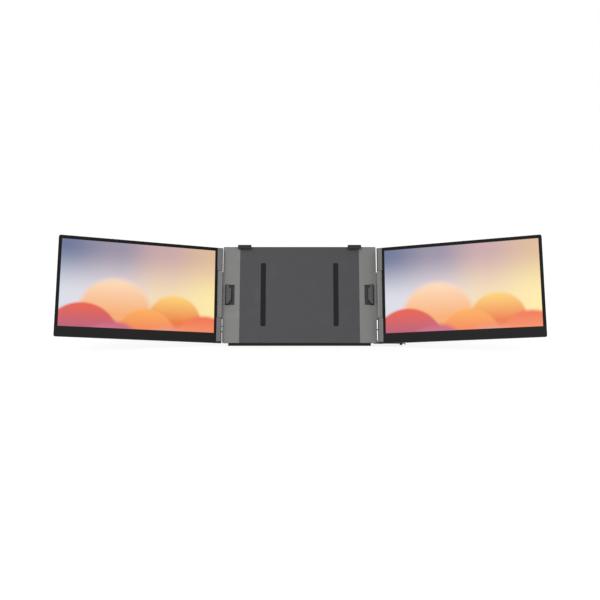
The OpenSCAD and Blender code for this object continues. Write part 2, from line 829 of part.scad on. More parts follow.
module on_kickstand() {
    leaned() translate([0, kick_y, kick_z]) rotate([kick_open, 0, 0]) children();
}

module kickstand_pin() {
    end = kick_barrel_half + running + kick_lug_l;
    color(steel) leaned() rod_x(kick_y, kick_z, -end, end, kick_pin_r);
}

module kickstand_plate() {
    half = kick_barrel_half;
    color(dark_grey) on_kickstand() difference() {
        union() {
            rod_x(0, 0, -half, half, kick_barrel_r);
            block(-half, half, kick_plate_y, kick_plate_y + kick_t, -kick_barrel_r - 8, 0);
            slab(-kick_half_w, kick_half_w, -kick_l, -kick_barrel_r - 4, kick_plate_y,
                kick_plate_y + kick_t, 6);
        }
        rod_x(0, 0, -half - through, half + through, kick_pin_r + bore_slack);
        rod_y(0, -kick_l + 24, kick_plate_y - through, kick_plate_y + kick_t + through, 9);
    }
}

module kickstand_rubber_edge() {
    w = kick_half_w - 8;
    wall = kick_pad_r;
    color(rubber_black) on_kickstand() difference() {
        union() {
            rod_x(kick_pad_y, -kick_l, -w, w, kick_pad_r);
            block(-w, w, kick_pad_y - wall, kick_pad_y + wall, -kick_l, -kick_l + kick_pad_h);
        }
        block(-w - through, w + through, kick_plate_y, kick_plate_y + kick_t, -kick_l,
            -kick_l + kick_pad_h + through);
    }
}

// ---- swing-out leg under the right monitor ----

// the steel angle behind the bracket's lower right corner that the leg turns on
module leg_bracket() {
    base_t = 2.5;
    color(dark_grey) {
        leaned() block(side_x - 16, side_x, plate_t, plate_t + base_t, plate_z0 + 5, plate_z0 + 28);
        difference() {
            union() {
                translate([leg_x, leg_y, lug_z]) cylinder(h = lug_t, r = leg_hub_r);
                block(leg_x - leg_hub_r, leg_x + 2, back_foot.x + 2, leg_y, lug_z,
                    lug_z + lug_t);
            }
            translate([leg_x, leg_y, lug_z - through])
                cylinder(h = lug_t + 2 * through, r = leg_pin_r + bore_slack);
        }
    }
}

module leg_pin() {
    color(steel) translate([leg_x, leg_y, 0]) {
        translate([0, 0, leg_z + 0.4]) cylinder(h = lug_z + lug_t - leg_z - 0.4, r = leg_pin_r);
        translate([0, 0, lug_z + lug_t]) cylinder(h = 1.2, r = leg_pin_r + 1.4);
    }
}

module on_leg() {
    translate([leg_x, leg_y, 0]) rotate([0, 0, -leg_angle]) children();
}

module support_leg() {
    color(black) on_leg() difference() {
        union() {
            translate([0, 0, leg_z]) cylinder(h = leg_h, r = leg_hub_r);
            block(0, leg_l, -leg_w / 2, leg_w / 2, leg_z, leg_top);
            translate([leg_l, 0, leg_z]) cylinder(h = leg_h, r = leg_w / 2 + 0.8);
        }
        translate([0, 0, leg_z - through])
            cylinder(h = leg_h + 2 * through, r = leg_pin_r + bore_slack);
    }
}

module leg_foot() {
    color(rubber_black) on_leg() translate([leg_l, 0, 0])
        cylinder(h = leg_z, r1 = leg_w / 2, r2 = leg_w / 2 + 0.8);
}

module leg_pull_tab() {
    x0 = leg_l + leg_w / 2 + 0.8;
    color(steel) on_leg() translate([0, 2, 0]) rotate([90, 0, 0]) linear_extrude(4)
        polygon([[x0, leg_top], [x0, leg_z + 0.6], [leg_l + leg_tab_l - 1, 0.6],
            [leg_l + leg_tab_l, 2.6]]);
}

back_housing();
front_cover();
left_side_frame();
right_side_frame();
left_hinge_arm();
right_hinge_arm();
lid_pads();
bracket_foot();
clip_guides();
clip_springs();
housing_screws();
arm_screws();
hub_board();
usb_ports();
kickstand_pin();
leg_bracket();
leg_pin();
left_hinge_pins();
right_hinge_pins();
left_hinge_washers();
right_hinge_washers();
left_rear_shell();
left_front_bezel();
left_display();
left_backlight();
left_driver_board();
left_upper_knuckle();
left_lower_knuckle();
left_leaf_screws();
right_rear_shell();
right_front_bezel();
right_display();
right_backlight();
right_driver_board();
right_upper_knuckle();
right_lower_knuckle();
right_leaf_screws();
kickstand_plate();
kickstand_rubber_edge();
left_top_hook();
left_top_slider();
left_top_pad();
right_top_hook();
right_top_slider();
right_top_pad();
left_side_hook();
left_side_slider();
left_side_pad();
right_side_hook();
right_side_slider();
right_side_pad();
support_leg();
leg_foot();
leg_pull_tab();
power_button();
menu_button();
input_button();
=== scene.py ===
"""A laptop screen extender: two portable monitors hinged to a bracket with clips and a kickstand.
Metres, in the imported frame: +X to the viewer's right, +Y away from the viewer, +Z up."""
import json
from math import cos, pi, radians, sin

import bpy
from mathutils import Matrix, Vector


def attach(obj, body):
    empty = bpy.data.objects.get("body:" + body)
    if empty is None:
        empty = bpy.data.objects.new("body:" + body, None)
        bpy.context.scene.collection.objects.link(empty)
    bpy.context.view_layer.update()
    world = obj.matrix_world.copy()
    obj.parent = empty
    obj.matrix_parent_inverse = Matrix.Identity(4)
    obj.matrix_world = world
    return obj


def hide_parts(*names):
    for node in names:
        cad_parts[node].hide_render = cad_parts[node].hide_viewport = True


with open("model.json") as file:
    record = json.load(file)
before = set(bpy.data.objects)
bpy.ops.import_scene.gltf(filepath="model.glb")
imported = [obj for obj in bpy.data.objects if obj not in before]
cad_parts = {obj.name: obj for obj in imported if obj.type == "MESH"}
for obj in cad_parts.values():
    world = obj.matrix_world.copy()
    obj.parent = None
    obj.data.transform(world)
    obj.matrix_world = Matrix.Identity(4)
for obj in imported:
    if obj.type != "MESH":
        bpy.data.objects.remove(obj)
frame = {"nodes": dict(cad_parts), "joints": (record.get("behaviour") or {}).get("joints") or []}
nodes = frame["nodes"]
joints = {joint["name"]: joint for joint in frame["joints"]}
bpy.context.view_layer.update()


# ---- Camera ----
# It stands 1.8 m in front of the screens and looks slightly down. Its lens and shift come from
# the picture's width, focal length and optical middle, in pixels.
CAMERA_PLACE = (0, -1.7828, 0.2636)
CAMERA_DOWN = radians(4.83)
SENSOR_W = 36
PICTURE_PX, FOCAL_PX = 600, 776
MIDDLE_X_PX, MIDDLE_Y_PX = 299.56, 297

camera = bpy.data.objects.new("camera", bpy.data.cameras.new("camera"))
bpy.context.scene.collection.objects.link(camera)
bpy.context.scene.camera = camera
camera.location = CAMERA_PLACE
camera.rotation_euler = (pi / 2 - CAMERA_DOWN, 0, 0)
camera.data.sensor_width = SENSOR_W
camera.data.lens = SENSOR_W * FOCAL_PX / PICTURE_PX
camera.data.shift_x = (PICTURE_PX / 2 - MIDDLE_X_PX) / PICTURE_PX
camera.data.shift_y = (MIDDLE_Y_PX - PICTURE_PX / 2) / PICTURE_PX
camera.data.clip_end = 50
bpy.context.scene.view_settings.view_transform = "Standard"


# ---- Studio ----
# A white room: the world is white to look at and softer as a light, the floor is pale with a
# glow of its own so that it stays white round a soft shadow, and four large lamps add shape.
def seen_directly(tree):
    """1 for a ray from the camera, or one that a mirror or glass sends on, and 0 for the rest."""
    path = tree.nodes.new("ShaderNodeLightPath")
    seen = path.outputs["Is Camera Ray"]
    for ray in ("Is Glossy Ray", "Is Transmission Ray"):
        either = tree.nodes.new("ShaderNodeMath")
        either.operation = "MAXIMUM"
        tree.links.new(seen, either.inputs[0])
        tree.links.new(path.outputs[ray], either.inputs[1])
        seen = either.outputs[0]
    return seen


def white_world():
    """A world of strength 1 where it is seen directly, and half that as a light."""
    world = bpy.data.worlds.new("white_room")
    bpy.context.scene.world = world
    world.use_nodes = True
    tree = world.node_tree
    tree.nodes.clear()
    mix = tree.nodes.new("ShaderNodeMixShader")
    tree.links.new(seen_directly(tree), mix.inputs["Fac"])
    for entry, strength in ((1, 0.5), (2, 1.0)):
        white = tree.nodes.new("ShaderNodeBackground")
        white.inputs["Color"].default_value = (1, 1, 1, 1)
        white.inputs["Strength"].default_value = strength
        tree.links.new(white.outputs[0], mix.inputs[entry])
    tree.links.new(mix.outputs[0], tree.nodes.new("ShaderNodeOutputWorld").inputs[0])


def pale_floor(size):
    """A matt floor with a glow that only shows where it is seen directly, and grows outwards."""
    bpy.ops.object.select_all(action="DESELECT")
    bpy.ops.mesh.primitive_plane_add(size=size, location=(0, 0, -0.0002))
    floor = bpy.context.object
    floor.name = "studio_floor"
    pale = bpy.data.materials.new("pale_floor")
    pale.use_nodes = True
    tree = pale.node_tree
    tree.nodes.clear()
    matt = tree.nodes.new("ShaderNodeBsdfDiffuse")
    matt.inputs["Color"].default_value = (0.42, 0.42, 0.42, 1)
    place = tree.nodes.new("ShaderNodeTexCoord")
    away = tree.nodes.new("ShaderNodeVectorMath")
    away.operation = "LENGTH"
    farther = tree.nodes.new("ShaderNodeMapRange")
    farther.inputs["From Min"].default_value = 1.5
    farther.inputs["From Max"].default_value = 5
    farther.inputs["To Min"].default_value = 0.74
    farther.inputs["To Max"].default_value = 0.84
    glow = tree.nodes.new("ShaderNodeEmission")
    level = tree.nodes.new("ShaderNodeMath")
    level.operation = "MULTIPLY"
    tree.links.new(place.outputs["Object"], away.inputs[0])
    tree.links.new(away.outputs["Value"], farther.inputs["Value"])
    tree.links.new(farther.outputs[0], level.inputs[1])
    both = tree.nodes.new("ShaderNodeAddShader")
    tree.links.new(seen_directly(tree), level.inputs[0])
    tree.links.new(level.outputs[0], glow.inputs["Strength"])
    tree.links.new(matt.outputs[0], both.inputs[0])
    tree.links.new(glow.outputs[0], both.inputs[1])
    tree.links.new(both.outputs[0], tree.nodes.new("ShaderNodeOutputMaterial").inputs[0])
    floor.data.materials.append(pale)


def lamp(name, place, size, watts):
    """A square area lamp that points at the bracket."""
    light = bpy.data.objects.new(name, bpy.data.lights.new(name, "AREA"))
    bpy.context.scene.collection.objects.link(light)
    light.data.size = size
    light.data.energy = watts
    light.location = place
    light.rotation_euler = (Vector((0, 0, 0.1)) - Vector(place)).to_track_quat("-Z", "Y").to_euler()


white_world()
pale_floor(40)
lamp("front_lamp", (-0.3, -2.6, 0.9), 1.6, 22)
lamp("key_lamp", (-1.3, -2.2, 2.0), 1.6, 12)
lamp("side_lamp", (1.7, -1.9, 1.2), 1.8, 8)
lamp("back_lamp", (0.3, 2.3, 1.8), 1.8, 24)


# ---- Front cover of the bracket ----
# A flat panel of dark anodised aluminium between the side frames, which closes the bracket's
# front. Screws from behind hold it by six bosses.
LEAN = radians(15)        # the bracket's front leans back
PLATE_T = 0.009           # the bracket, front to back
PLATE_Z0 = 0.0045         # its lower and upper edge, up the lean
PLATE_TOP = 0.2325
PANEL_T = 0.0018          # its front and back walls
DESK_GAP = 0.0045         # the back wall's lower corner over the desk
SIDE_X = 0.1796           # the side frames' outer and inner edges
FRAME_X = 0.140
SLACK = 0.0001            # fixed pieces that slip into each other
BACK_IN = PLATE_T - PANEL_T
BOSS_R, PILOT_R = 0.0028, 0.00095
COVER_SPOTS = [(x, z) for x in (-0.1, 0, 0.1) for z in (PLATE_Z0 + 0.018, PLATE_TOP - 0.026)]
# sets what is drawn upright, with the bracket's front in the plane y = 0, on the desk with its lean
UPRIGHT = Matrix.Translation((
    0,
    -(PLATE_T / 2 * cos(LEAN) + PLATE_Z0 * sin(LEAN)),
    DESK_GAP + PLATE_T * sin(LEAN) - PLATE_Z0 * cos(LEAN),
)) @ Matrix.Rotation(-LEAN, 4, "X")


def pick(piece):
    """Makes one piece the only one that is selected, and the active one."""
    bpy.ops.object.select_all(action="DESELECT")
    piece.select_set(True)
    bpy.context.view_layer.objects.active = piece


def block(name, low, high):
    """A box between two opposite corners."""
    low, high = Vector(low), Vector(high)
    bpy.ops.object.select_all(action="DESELECT")
    bpy.ops.mesh.primitive_cube_add(size=1, location=(low + high) / 2)
    piece = bpy.context.object
    piece.name = piece.data.name = name
    piece.scale = [abs(c) for c in high - low]
    bpy.ops.object.transform_apply(location=True, rotation=True, scale=True)
    return piece


def rod(name, start, end, radius, sides=48, tip=None):
    """A round bar from start to end. A tip is the radius at its end, where that is another one."""
    start, end = Vector(start), Vector(end)
    way = end - start
    bpy.ops.object.select_all(action="DESELECT")
    bpy.ops.mesh.primitive_cone_add(
        vertices=sides, radius1=radius, radius2=radius if tip is None else tip,
        depth=way.length, location=(start + end) / 2,
        rotation=way.to_track_quat("Z", "Y").to_euler())
    piece = bpy.context.object
    piece.name = piece.data.name = name
    bpy.ops.object.transform_apply(location=True, rotation=True, scale=True)
    return piece


def join(piece, *others):
    """Melts other solids into a piece."""
    return carve(piece, *others, how="UNION")


def carve(piece, *tools, how="DIFFERENCE"):
    """Takes the tools' space out of a piece."""
    for tool in tools:
        pick(piece)
        step = piece.modifiers.new("carve", "BOOLEAN")
        step.solver = "EXACT"
        step.operation = how
        step.object = tool
        bpy.ops.object.modifier_apply(modifier=step.name)
        bpy.data.objects.remove(tool)
    return piece


def pick_edges(piece, wanted):
    """Goes into edit mode with only those edges selected whose two ends wanted() accepts."""
    pick(piece)
    bpy.ops.object.mode_set(mode="EDIT")
    bpy.ops.mesh.select_mode(type="EDGE")
    bpy.ops.mesh.select_all(action="DESELECT")
    bpy.ops.object.mode_set(mode="OBJECT")
    points = piece.data.vertices
    for edge in piece.data.edges:
        edge.select = wanted(*(points[i].co for i in edge.vertices))
    bpy.ops.object.mode_set(mode="EDIT")


def round_edges(piece, radius, wanted, steps=6):
    """Rounds the edges that wanted() accepts."""
    pick_edges(piece, wanted)
    bpy.ops.mesh.bevel(offset=radius, segments=steps, affect="EDGES")
    bpy.ops.object.mode_set(mode="OBJECT")
    return piece


def along(axis):
    """Accepts an edge that runs along X, Y or Z, given as 0, 1 or 2."""
    return lambda a, b: abs((b - a).normalized()[axis]) > 0.99


def soften(piece, width, steps=2, sharpest=40):
    """Rounds what is still sharp by a little, and shades the piece smoothly."""
    pick(piece)
    edge = piece.modifiers.new("soft_edges", "BEVEL")
    edge.width = width
    edge.segments = steps
    edge.limit_method = "ANGLE"
    edge.angle_limit = radians(sharpest)
    bpy.ops.object.modifier_apply(modifier=edge.name)
    bpy.ops.object.shade_smooth_by_angle(angle=radians(sharpest))
    even = piece.modifiers.new("even_shading", "WEIGHTED_NORMAL")
    even.keep_sharp = True
    bpy.ops.object.modifier_apply(modifier=even.name)
    return piece


def put(piece, place, material, body, slot, *stands_for):
    """Sets a finished piece in its place, gives it its material, and hangs it on its body."""
    pick(piece)
    piece.matrix_world = place
    bpy.ops.object.transform_apply(location=True, rotation=True, scale=True)
    piece.data.materials.clear()
    piece.data.materials.append(material)
    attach(piece, body)
    if stands_for:
        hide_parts(*stands_for)
    return piece


def tone(red, green, blue):
    """A colour given as it looks on a screen, 0 to 255, for a shader."""
    def linear(c):
        c /= 255
        return c / 12.92 if c <= 0.04045 else ((c + 0.055) / 1.055) ** 2.4
    return (linear(red), linear(green), linear(blue), 1)


def new_group(name, entries, results):
    """A node group with its sockets, and its two ends: what it is given and what it makes."""
    group = bpy.data.node_groups.new(name, "ShaderNodeTree")
    for kind, words in (("INPUT", entries), ("OUTPUT", results)):
        for word, socket in words.items():
            group.interface.new_socket(word, in_out=kind, socket_type="NodeSocket" + socket)
    return group, group.nodes.new("NodeGroupInput"), group.nodes.new("NodeGroupOutput")


def fine_grain():
    """What every coated or moulded surface has: wide patches of two shades, a roughness that
    follows them, and a grain well under a millimetre."""
    if "fine_grain" in bpy.data.node_groups:
        return bpy.data.node_groups["fine_grain"]
    group, given, made = new_group(
        "fine_grain",
        {"Place": "Vector", "Shade": "Color", "Light": "Color", "Patches": "Float",
         "Grain": "Float", "Smoothest": "Float", "Roughest": "Float"},
        {"Colour": "Color", "Roughness": "Float", "Height": "Float"})
    patches = group.nodes.new("ShaderNodeTexNoise")
    patches.inputs["Detail"].default_value = 4
    grain = group.nodes.new("ShaderNodeTexNoise")
    grain.inputs["Detail"].default_value = 2
    mix = group.nodes.new("ShaderNodeMix")
    mix.data_type = "RGBA"
    rough = group.nodes.new("ShaderNodeMapRange")
    rough.inputs["From Min"].default_value = 0.3
    rough.inputs["From Max"].default_value = 0.7
    both = group.nodes.new("ShaderNodeMath")
    both.operation = "MULTIPLY_ADD"
    both.inputs[1].default_value = 0.5
    for noise, scale in ((patches, "Patches"), (grain, "Grain")):
        group.links.new(given.outputs["Place"], noise.inputs["Vector"])
        group.links.new(given.outputs[scale], noise.inputs["Scale"])
    group.links.new(grain.outputs["Fac"], both.inputs[0])
    group.links.new(patches.outputs["Fac"], both.inputs[2])
    group.links.new(both.outputs[0], rough.inputs["Value"])
    group.links.new(given.outputs["Smoothest"], rough.inputs["To Min"])
    group.links.new(given.outputs["Roughest"], rough.inputs["To Max"])
    group.links.new(both.outputs[0], mix.inputs["Factor"])
    group.links.new(given.outputs["Shade"], mix.inputs[6])
    group.links.new(given.outputs["Light"], mix.inputs[7])
    group.links.new(mix.outputs[2], made.inputs["Colour"])
    group.links.new(rough.outputs[0], made.inputs["Roughness"])
    group.links.new(grain.outputs["Fac"], made.inputs["Height"])
    return group


def worn_edges():
    """Where hands rub a coating thin: 1 on an outer edge, broken up, and 0 on the flats."""
    if "worn_edges" in bpy.data.node_groups:
        return bpy.data.node_groups["worn_edges"]
    group, given, made = new_group(
        "worn_edges", {"Place": "Vector", "Width": "Float", "Amount": "Float"}, {"Mask": "Float"})
    rounded = group.nodes.new("ShaderNodeBevel")
    shape = group.nodes.new("ShaderNodeNewGeometry")
    match = group.nodes.new("ShaderNodeVectorMath")
    match.operation = "DOT_PRODUCT"
    edge = group.nodes.new("ShaderNodeMapRange")
    edge.inputs["From Min"].default_value = 0.995
    edge.inputs["From Max"].default_value = 0.9
    chips = group.nodes.new("ShaderNodeTexNoise")
    chips.inputs["Scale"].default_value = 220
    chips.inputs["Detail"].default_value = 5
    broken = group.nodes.new("ShaderNodeMapRange")
    broken.inputs["From Min"].default_value = 0.4
    broken.inputs["From Max"].default_value = 0.65
    worn = group.nodes.new("ShaderNodeMath")
    worn.operation = "MULTIPLY"
    scaled = group.nodes.new("ShaderNodeMath")
    scaled.operation = "MULTIPLY"
    group.links.new(given.outputs["Width"], rounded.inputs["Radius"])
    group.links.new(rounded.outputs[0], match.inputs[0])
    group.links.new(shape.outputs["Normal"], match.inputs[1])
    group.links.new(match.outputs["Value"], edge.inputs["Value"])
    group.links.new(given.outputs["Place"], chips.inputs["Vector"])
    group.links.new(chips.outputs["Fac"], broken.inputs["Value"])
    group.links.new(edge.outputs[0], worn.inputs[0])
    group.links.new(broken.outputs[0], worn.inputs[1])
    group.links.new(worn.outputs[0], scaled.inputs[0])
    group.links.new(given.outputs["Amount"], scaled.inputs[1])
    group.links.new(scaled.outputs[0], made.inputs["Mask"])
    return group


def blend_colours(tree, factor, under, over):
    """One colour over another where the factor is 1. Each is a fixed tone or a node's output."""
    node = tree.nodes.new("ShaderNodeMix")
    node.data_type = "RGBA"
    tree.links.new(factor, node.inputs["Factor"])
    for socket, colour in ((node.inputs[6], under), (node.inputs[7], over)):
        if isinstance(colour, tuple):
            socket.default_value = colour
        else:
            tree.links.new(colour, socket)
    return node.outputs[2]


def coating(name, shade, light, worn, rough, patches=25, grain=3500, depth=0.00002,
            metal=0.0, shine=0.5, wear=0.5):
    """A coated, blasted or moulded surface: shade and light are its two close tones, worn is
    the tone of its rubbed edges, and rough the limits of its roughness. A metre holds about so
    many patches and grains, and the grains are as high as depth."""
    made = bpy.data.materials.new(name)
    made.use_nodes = True
    tree = made.node_tree
    surface = tree.nodes["Principled BSDF"]
    surface.inputs["Metallic"].default_value = metal
    surface.inputs["Specular IOR Level"].default_value = shine
    place = tree.nodes.new("ShaderNodeTexCoord")
    base = tree.nodes.new("ShaderNodeGroup")
    base.node_tree = fine_grain()
    base.inputs["Shade"].default_value = shade
    base.inputs["Light"].default_value = light
    base.inputs["Patches"].default_value = patches
    base.inputs["Grain"].default_value = grain
    base.inputs["Smoothest"].default_value, base.inputs["Roughest"].default_value = rough
    edges = tree.nodes.new("ShaderNodeGroup")
    edges.node_tree = worn_edges()
    edges.inputs["Width"].default_value = 0.0006
    edges.inputs["Amount"].default_value = wear
    bump = tree.nodes.new("ShaderNodeBump")
    bump.inputs["Strength"].default_value = 0.35
    bump.inputs["Distance"].default_value = depth
    for group in (base, edges):
        tree.links.new(place.outputs["Object"], group.inputs["Place"])
    rubbed = blend_colours(tree, edges.outputs["Mask"], base.outputs["Colour"], worn)
    tree.links.new(rubbed, surface.inputs["Base Color"])
    tree.links.new(base.outputs["Roughness"], surface.inputs["Roughness"])
    tree.links.new(base.outputs["Height"], bump.inputs["Height"])
    tree.links.new(bump.outputs[0], surface.inputs["Normal"])
    return made


dark_aluminium = coating(
    "dark_anodised_aluminium", tone(58, 58, 60), tone(66, 66, 68), tone(120, 120, 122),
    (0.42, 0.56), metal=0.7, grain=5200)

cover = block("bracket_front_cover", (-FRAME_X + SLACK, 0, PLATE_Z0),
              (FRAME_X - SLACK, PANEL_T, PLATE_TOP))
for x, z in COVER_SPOTS:
    join(cover, rod("boss", (x, PANEL_T / 2, z), (x, BACK_IN - SLACK, z), BOSS_R, 32))
    carve(cover, rod("pilot_hole", (x, PANEL_T, z), (x, PLATE_T, z), PILOT_R, 24))
soften(cover, 0.00025)
put(cover, UPRIGHT, dark_aluminium, "bracket", "dark_metal", "front_cover")


# ---- Back housing of the bracket ----
# The back wall with its upper and lower wall and the kickstand's two hinge lugs, one pressing of
# dark aluminium. Its shape is the CAD node's own, with the sharp edges broken.
def softened_copy(name, node, width, steps=2):
    """A welded copy of a CAD node with its sharp edges rounded."""
    piece = bpy.data.objects.new(name, nodes[node].data.copy())
    piece.data.name = name
    bpy.context.scene.collection.objects.link(piece)
    pick(piece)
    bpy.ops.object.mode_set(mode="EDIT")
    bpy.ops.mesh.select_all(action="SELECT")
    bpy.ops.mesh.remove_doubles(threshold=0.000002)
    bpy.ops.mesh.dissolve_limited(angle_limit=radians(0.5))
    bpy.ops.object.mode_set(mode="OBJECT")
    return soften(piece, width, steps)


HERE = Matrix.Identity(4)  # a CAD node is in its place already
put(softened_copy("bracket_back_housing", "back_housing", 0.0003), HERE, dark_aluminium,
    "bracket", "dark_metal", "back_housing")


# ---- Side frames ----
# Two grey anodised frames, one at each end of the front cover, with a slot for the side clip,
# holes for the push buttons in the outer wall, and on the right the mouths of the two sockets.
grey_aluminium = coating(
    "grey_anodised_aluminium", tone(99, 99, 99), tone(108, 108, 107), tone(150, 150, 150),
    (0.40, 0.54), metal=0.8, grain=5200)

for side in ("left", "right"):
    put(softened_copy(side + "_frame_cover", side + "_side_frame", 0.0003), HERE,
        grey_aluminium, "bracket", "grey_metal", side + "_side_frame")


# ---- Hinge arms ----
# A grey casting on each side, screwed to the side frame: a flat-faced bar on a short riser, which
# carries the hinge pins and is flush with a flat monitor.
ARM_HALF, HINGE_CORNER_R = 0.0062, 0.003
MONITOR_T = 0.009
HALF_T = MONITOR_T / 2
MONITOR_H = 0.2233
ARM_BEHIND = 0.0005       # how far the arm stands out behind a flat monitor
SIDE_TO_AXIS = 0.0064     # from a side frame's outer edge to the hinge's axis
LOWER_Z, LOWER_H = 0.004, 0.0548
UPPER_H = 0.0536
SEAM = 0.0008             # between the arm and each knuckle
ARM_Z0 = LOWER_Z + LOWER_H + SEAM
ARM_Z1 = MONITOR_H - UPPER_H - SEAM
BORE_SLACK = 0.00008      # pins in their bores
BORE_R = 0.0016 + BORE_SLACK
HINGE_Z = 0.114           # the height that the hinges' joints are given at, up the lean
SIDES = {"left": -1, "right": 1}
RISE = {"left": 0.0024, "right": 0}  # how much higher a hinge is set


def painted_side_shade():
    """Masks for painted light and shade on a hinge part's front half: Inner is 1 where it looks
    towards the bracket's middle, and Outer is 1 where it looks away from the middle, or down."""
    if "painted_side_shade" in bpy.data.node_groups:
        return bpy.data.node_groups["painted_side_shade"]
    group, given, made = new_group(
        "painted_side_shade", {"Place": "Vector", "Looks": "Vector"},
        {"Inner": "Float", "Outer": "Float"})

    def ramp(source, zero, one):
        node = group.nodes.new("ShaderNodeMapRange")
        node.inputs["From Min"].default_value = zero
        node.inputs["From Max"].default_value = one
        group.links.new(source, node.inputs["Value"])
        return node.outputs[0]

    def reckon(operation, *sources):
        node = group.nodes.new("ShaderNodeMath")
        node.operation = operation
        for i, source in enumerate(sources):
            group.links.new(source, node.inputs[i])
        return node.outputs[0]

    where, looks = (group.nodes.new("ShaderNodeSeparateXYZ") for _ in range(2))
    group.links.new(given.outputs["Place"], where.inputs[0])
    group.links.new(given.outputs["Looks"], looks.inputs[0])
    outward = reckon("MULTIPLY", reckon("SIGN", where.outputs["X"]), looks.outputs["X"])
    front = ramp(looks.outputs["Y"], 0.85, 0.5)
    group.links.new(reckon("MULTIPLY", ramp(outward, -0.4, -0.55), front), made.inputs["Inner"])
    away = reckon("MAXIMUM", ramp(outward, 0.4, 0.9), ramp(looks.outputs["Z"], -0.1, -0.5))
    group.links.new(reckon("MULTIPLY", away, front), made.inputs["Outer"])
    return group


def cast_grey_with_painted_light(name, inner, outer):
    """The hinge castings' blasted grey, with painted tones on its sides: inner where a side looks
    towards the middle, outer where it looks away or down; the tones given are painted highlight and
    painted shade.
    """
    made = coating(name, tone(98, 98, 98), tone(108, 108, 107), tone(146, 146, 146),
                   (0.42, 0.58), metal=0.75, grain=4200)
    tree = made.node_tree
    surface = tree.nodes["Principled BSDF"]
    place = tree.nodes.new("ShaderNodeTexCoord")
    sides = tree.nodes.new("ShaderNodeGroup")
    sides.node_tree = painted_side_shade()
    tree.links.new(place.outputs["Object"], sides.inputs["Place"])
    tree.links.new(place.outputs["Normal"], sides.inputs["Looks"])
    colour = surface.inputs["Base Color"].links[0].from_socket
    for mask, painted_tone in (("Inner", inner), ("Outer", outer)):
        colour = blend_colours(tree, sides.outputs[mask], colour, painted_tone)
    tree.links.new(colour, surface.inputs["Base Color"])
    return made


# painted light: the arm's inner side is painted light grey, a painted highlight in its shaded
# groove, and its outer side and underside are painted near black, a painted shade
arm_grey_painted_light = cast_grey_with_painted_light("cast_grey_arm_painted_light", tone(160, 160, 160), tone(30, 30, 31))
# painted shade: the knuckles' inner and outer sides and undersides are painted near black
knuckle_grey_painted_shade = cast_grey_with_painted_light("cast_grey_knuckle_painted_shade", tone(30, 30, 31), tone(30, 30, 31))


def hinge_place(side):
    """The upright frame moved to a hinge's axis."""
    axis = Vector(joints[side + "_monitor_hinge"]["pos_m"])
    down = UPRIGHT.to_3x3() @ Vector((0, 0, HINGE_Z - RISE[side]))
    return Matrix.Translation(axis - down) @ Matrix.Rotation(-LEAN, 4, "X")


def mirrored(sign, low, high):
    """The corners of a box that is drawn for the right side, on either side."""
    ends = sorted((sign * low[0], sign * high[0]))
    return (ends[0], *low[1:]), (ends[1], *high[1:])


for side, sign in SIDES.items():
    place = hinge_place(side)
    behind = (place.inverted() @ UPRIGHT).translation.y    # the bracket's front face
    arm = block(side + "_hinge_casting", (-ARM_HALF, -HALF_T, ARM_Z0),
                (ARM_HALF, HALF_T + ARM_BEHIND, ARM_Z1))
    round_edges(arm, HINGE_CORNER_R, along(2), 8)
    join(arm, block("riser", *mirrored(sign, (-SIDE_TO_AXIS, 0, ARM_Z0),
                                       (ARM_HALF, behind + PLATE_T, ARM_Z1))))
    carve(arm, rod("pin_bore", (0, 0, ARM_Z0 - SEAM), (0, 0, ARM_Z1 + SEAM), BORE_R, 24))
    soften(arm, 0.0005, 3)
    put(arm, place, arm_grey_painted_light, "bracket", "hinge_metal", side + "_hinge_arm")


# ---- Inside the bracket ----
# Turned steel pins and thin blued washers in the hinges, leaf springs and nylon rails for the
# top clips, screws from inside into the arms, and green boards in the bracket and the monitors.
def dress(material, *names):
    """Gives CAD nodes whose shape is right their material."""
    for name in names:
        for place in nodes[name].material_slots:
            place.material = material


bright_steel = coating(
    "bright_steel", tone(150, 150, 153), tone(182, 182, 184), tone(215, 215, 216),
    (0.22, 0.4), patches=40, grain=2600, metal=1.0, wear=0.3)
black_nylon = coating(
    "black_nylon", tone(30, 30, 31), tone(38, 38, 39), tone(62, 62, 63), (0.45, 0.62),
    shine=0.25, depth=0.00003)
board_green = coating(
    "solder_mask_green", tone(18, 74, 44), tone(40, 112, 66), tone(176, 150, 92), (0.25, 0.45),
    patches=420, grain=1500, shine=0.4, wear=0.8)
blued_steel = coating(
    "blued_steel", tone(48, 48, 52), tone(62, 62, 66), tone(120, 120, 122), (0.35, 0.5),
    patches=60, grain=2600, metal=0.8, wear=0.2)

dress(bright_steel, "left_hinge_pins", "right_hinge_pins", "clip_springs", "arm_screws",
      "kickstand_pin")
dress(blued_steel, "left_hinge_washers", "right_hinge_washers")
dress(black_nylon, "clip_guides")
dress(board_green, "hub_board", "left_driver_board", "right_driver_board")


# ---- Lid pads and rubber foot ----
# Black silicone: two soft strips glued to the front cover, and a long foot pressed onto the
# bracket's lower edge, which stands on the desk.
black_rubber = coating(
    "black_silicone", tone(24, 24, 25), tone(33, 33, 34), tone(74, 74, 74), (0.62, 0.82),
    patches=45, grain=1800, depth=0.00005, shine=0.2, wear=0.6)

put(softened_copy("lid_pad_strips", "lid_pads", 0.00018), HERE, black_rubber, "bracket",
    "rubber", "lid_pads")
put(softened_copy("desk_foot_strip", "bracket_foot", 0.0004, 3), HERE, black_rubber, "bracket",
    "rubber", "bracket_foot")


# ---- Sockets ----
# Two folded steel shells with a black tongue in each, soldered to the board behind the right
# frame's outer wall.
PORT_L, PORT_W, PORT_DEPTH = 0.0089, 0.0032, 0.0074
PORT_Y = PLATE_T / 2 + 0.0004
PORT_WALL, PORT_BACK = 0.00035, 0.001
PORT_PLACES = {"lower": 0.020, "upper": 0.049}
PORT_TONGUE_HALF_T, PORT_TONGUE_HALF_L, PORT_TONGUE_IN = 0.00035, 0.003, 0.0015
WALL_IN = SIDE_X - 0.002  # the outer wall's inner face
THROUGH = 0.001           # how far a cut goes past a face
NEAR = 0.00001            # what is closer than this to a place counts as there


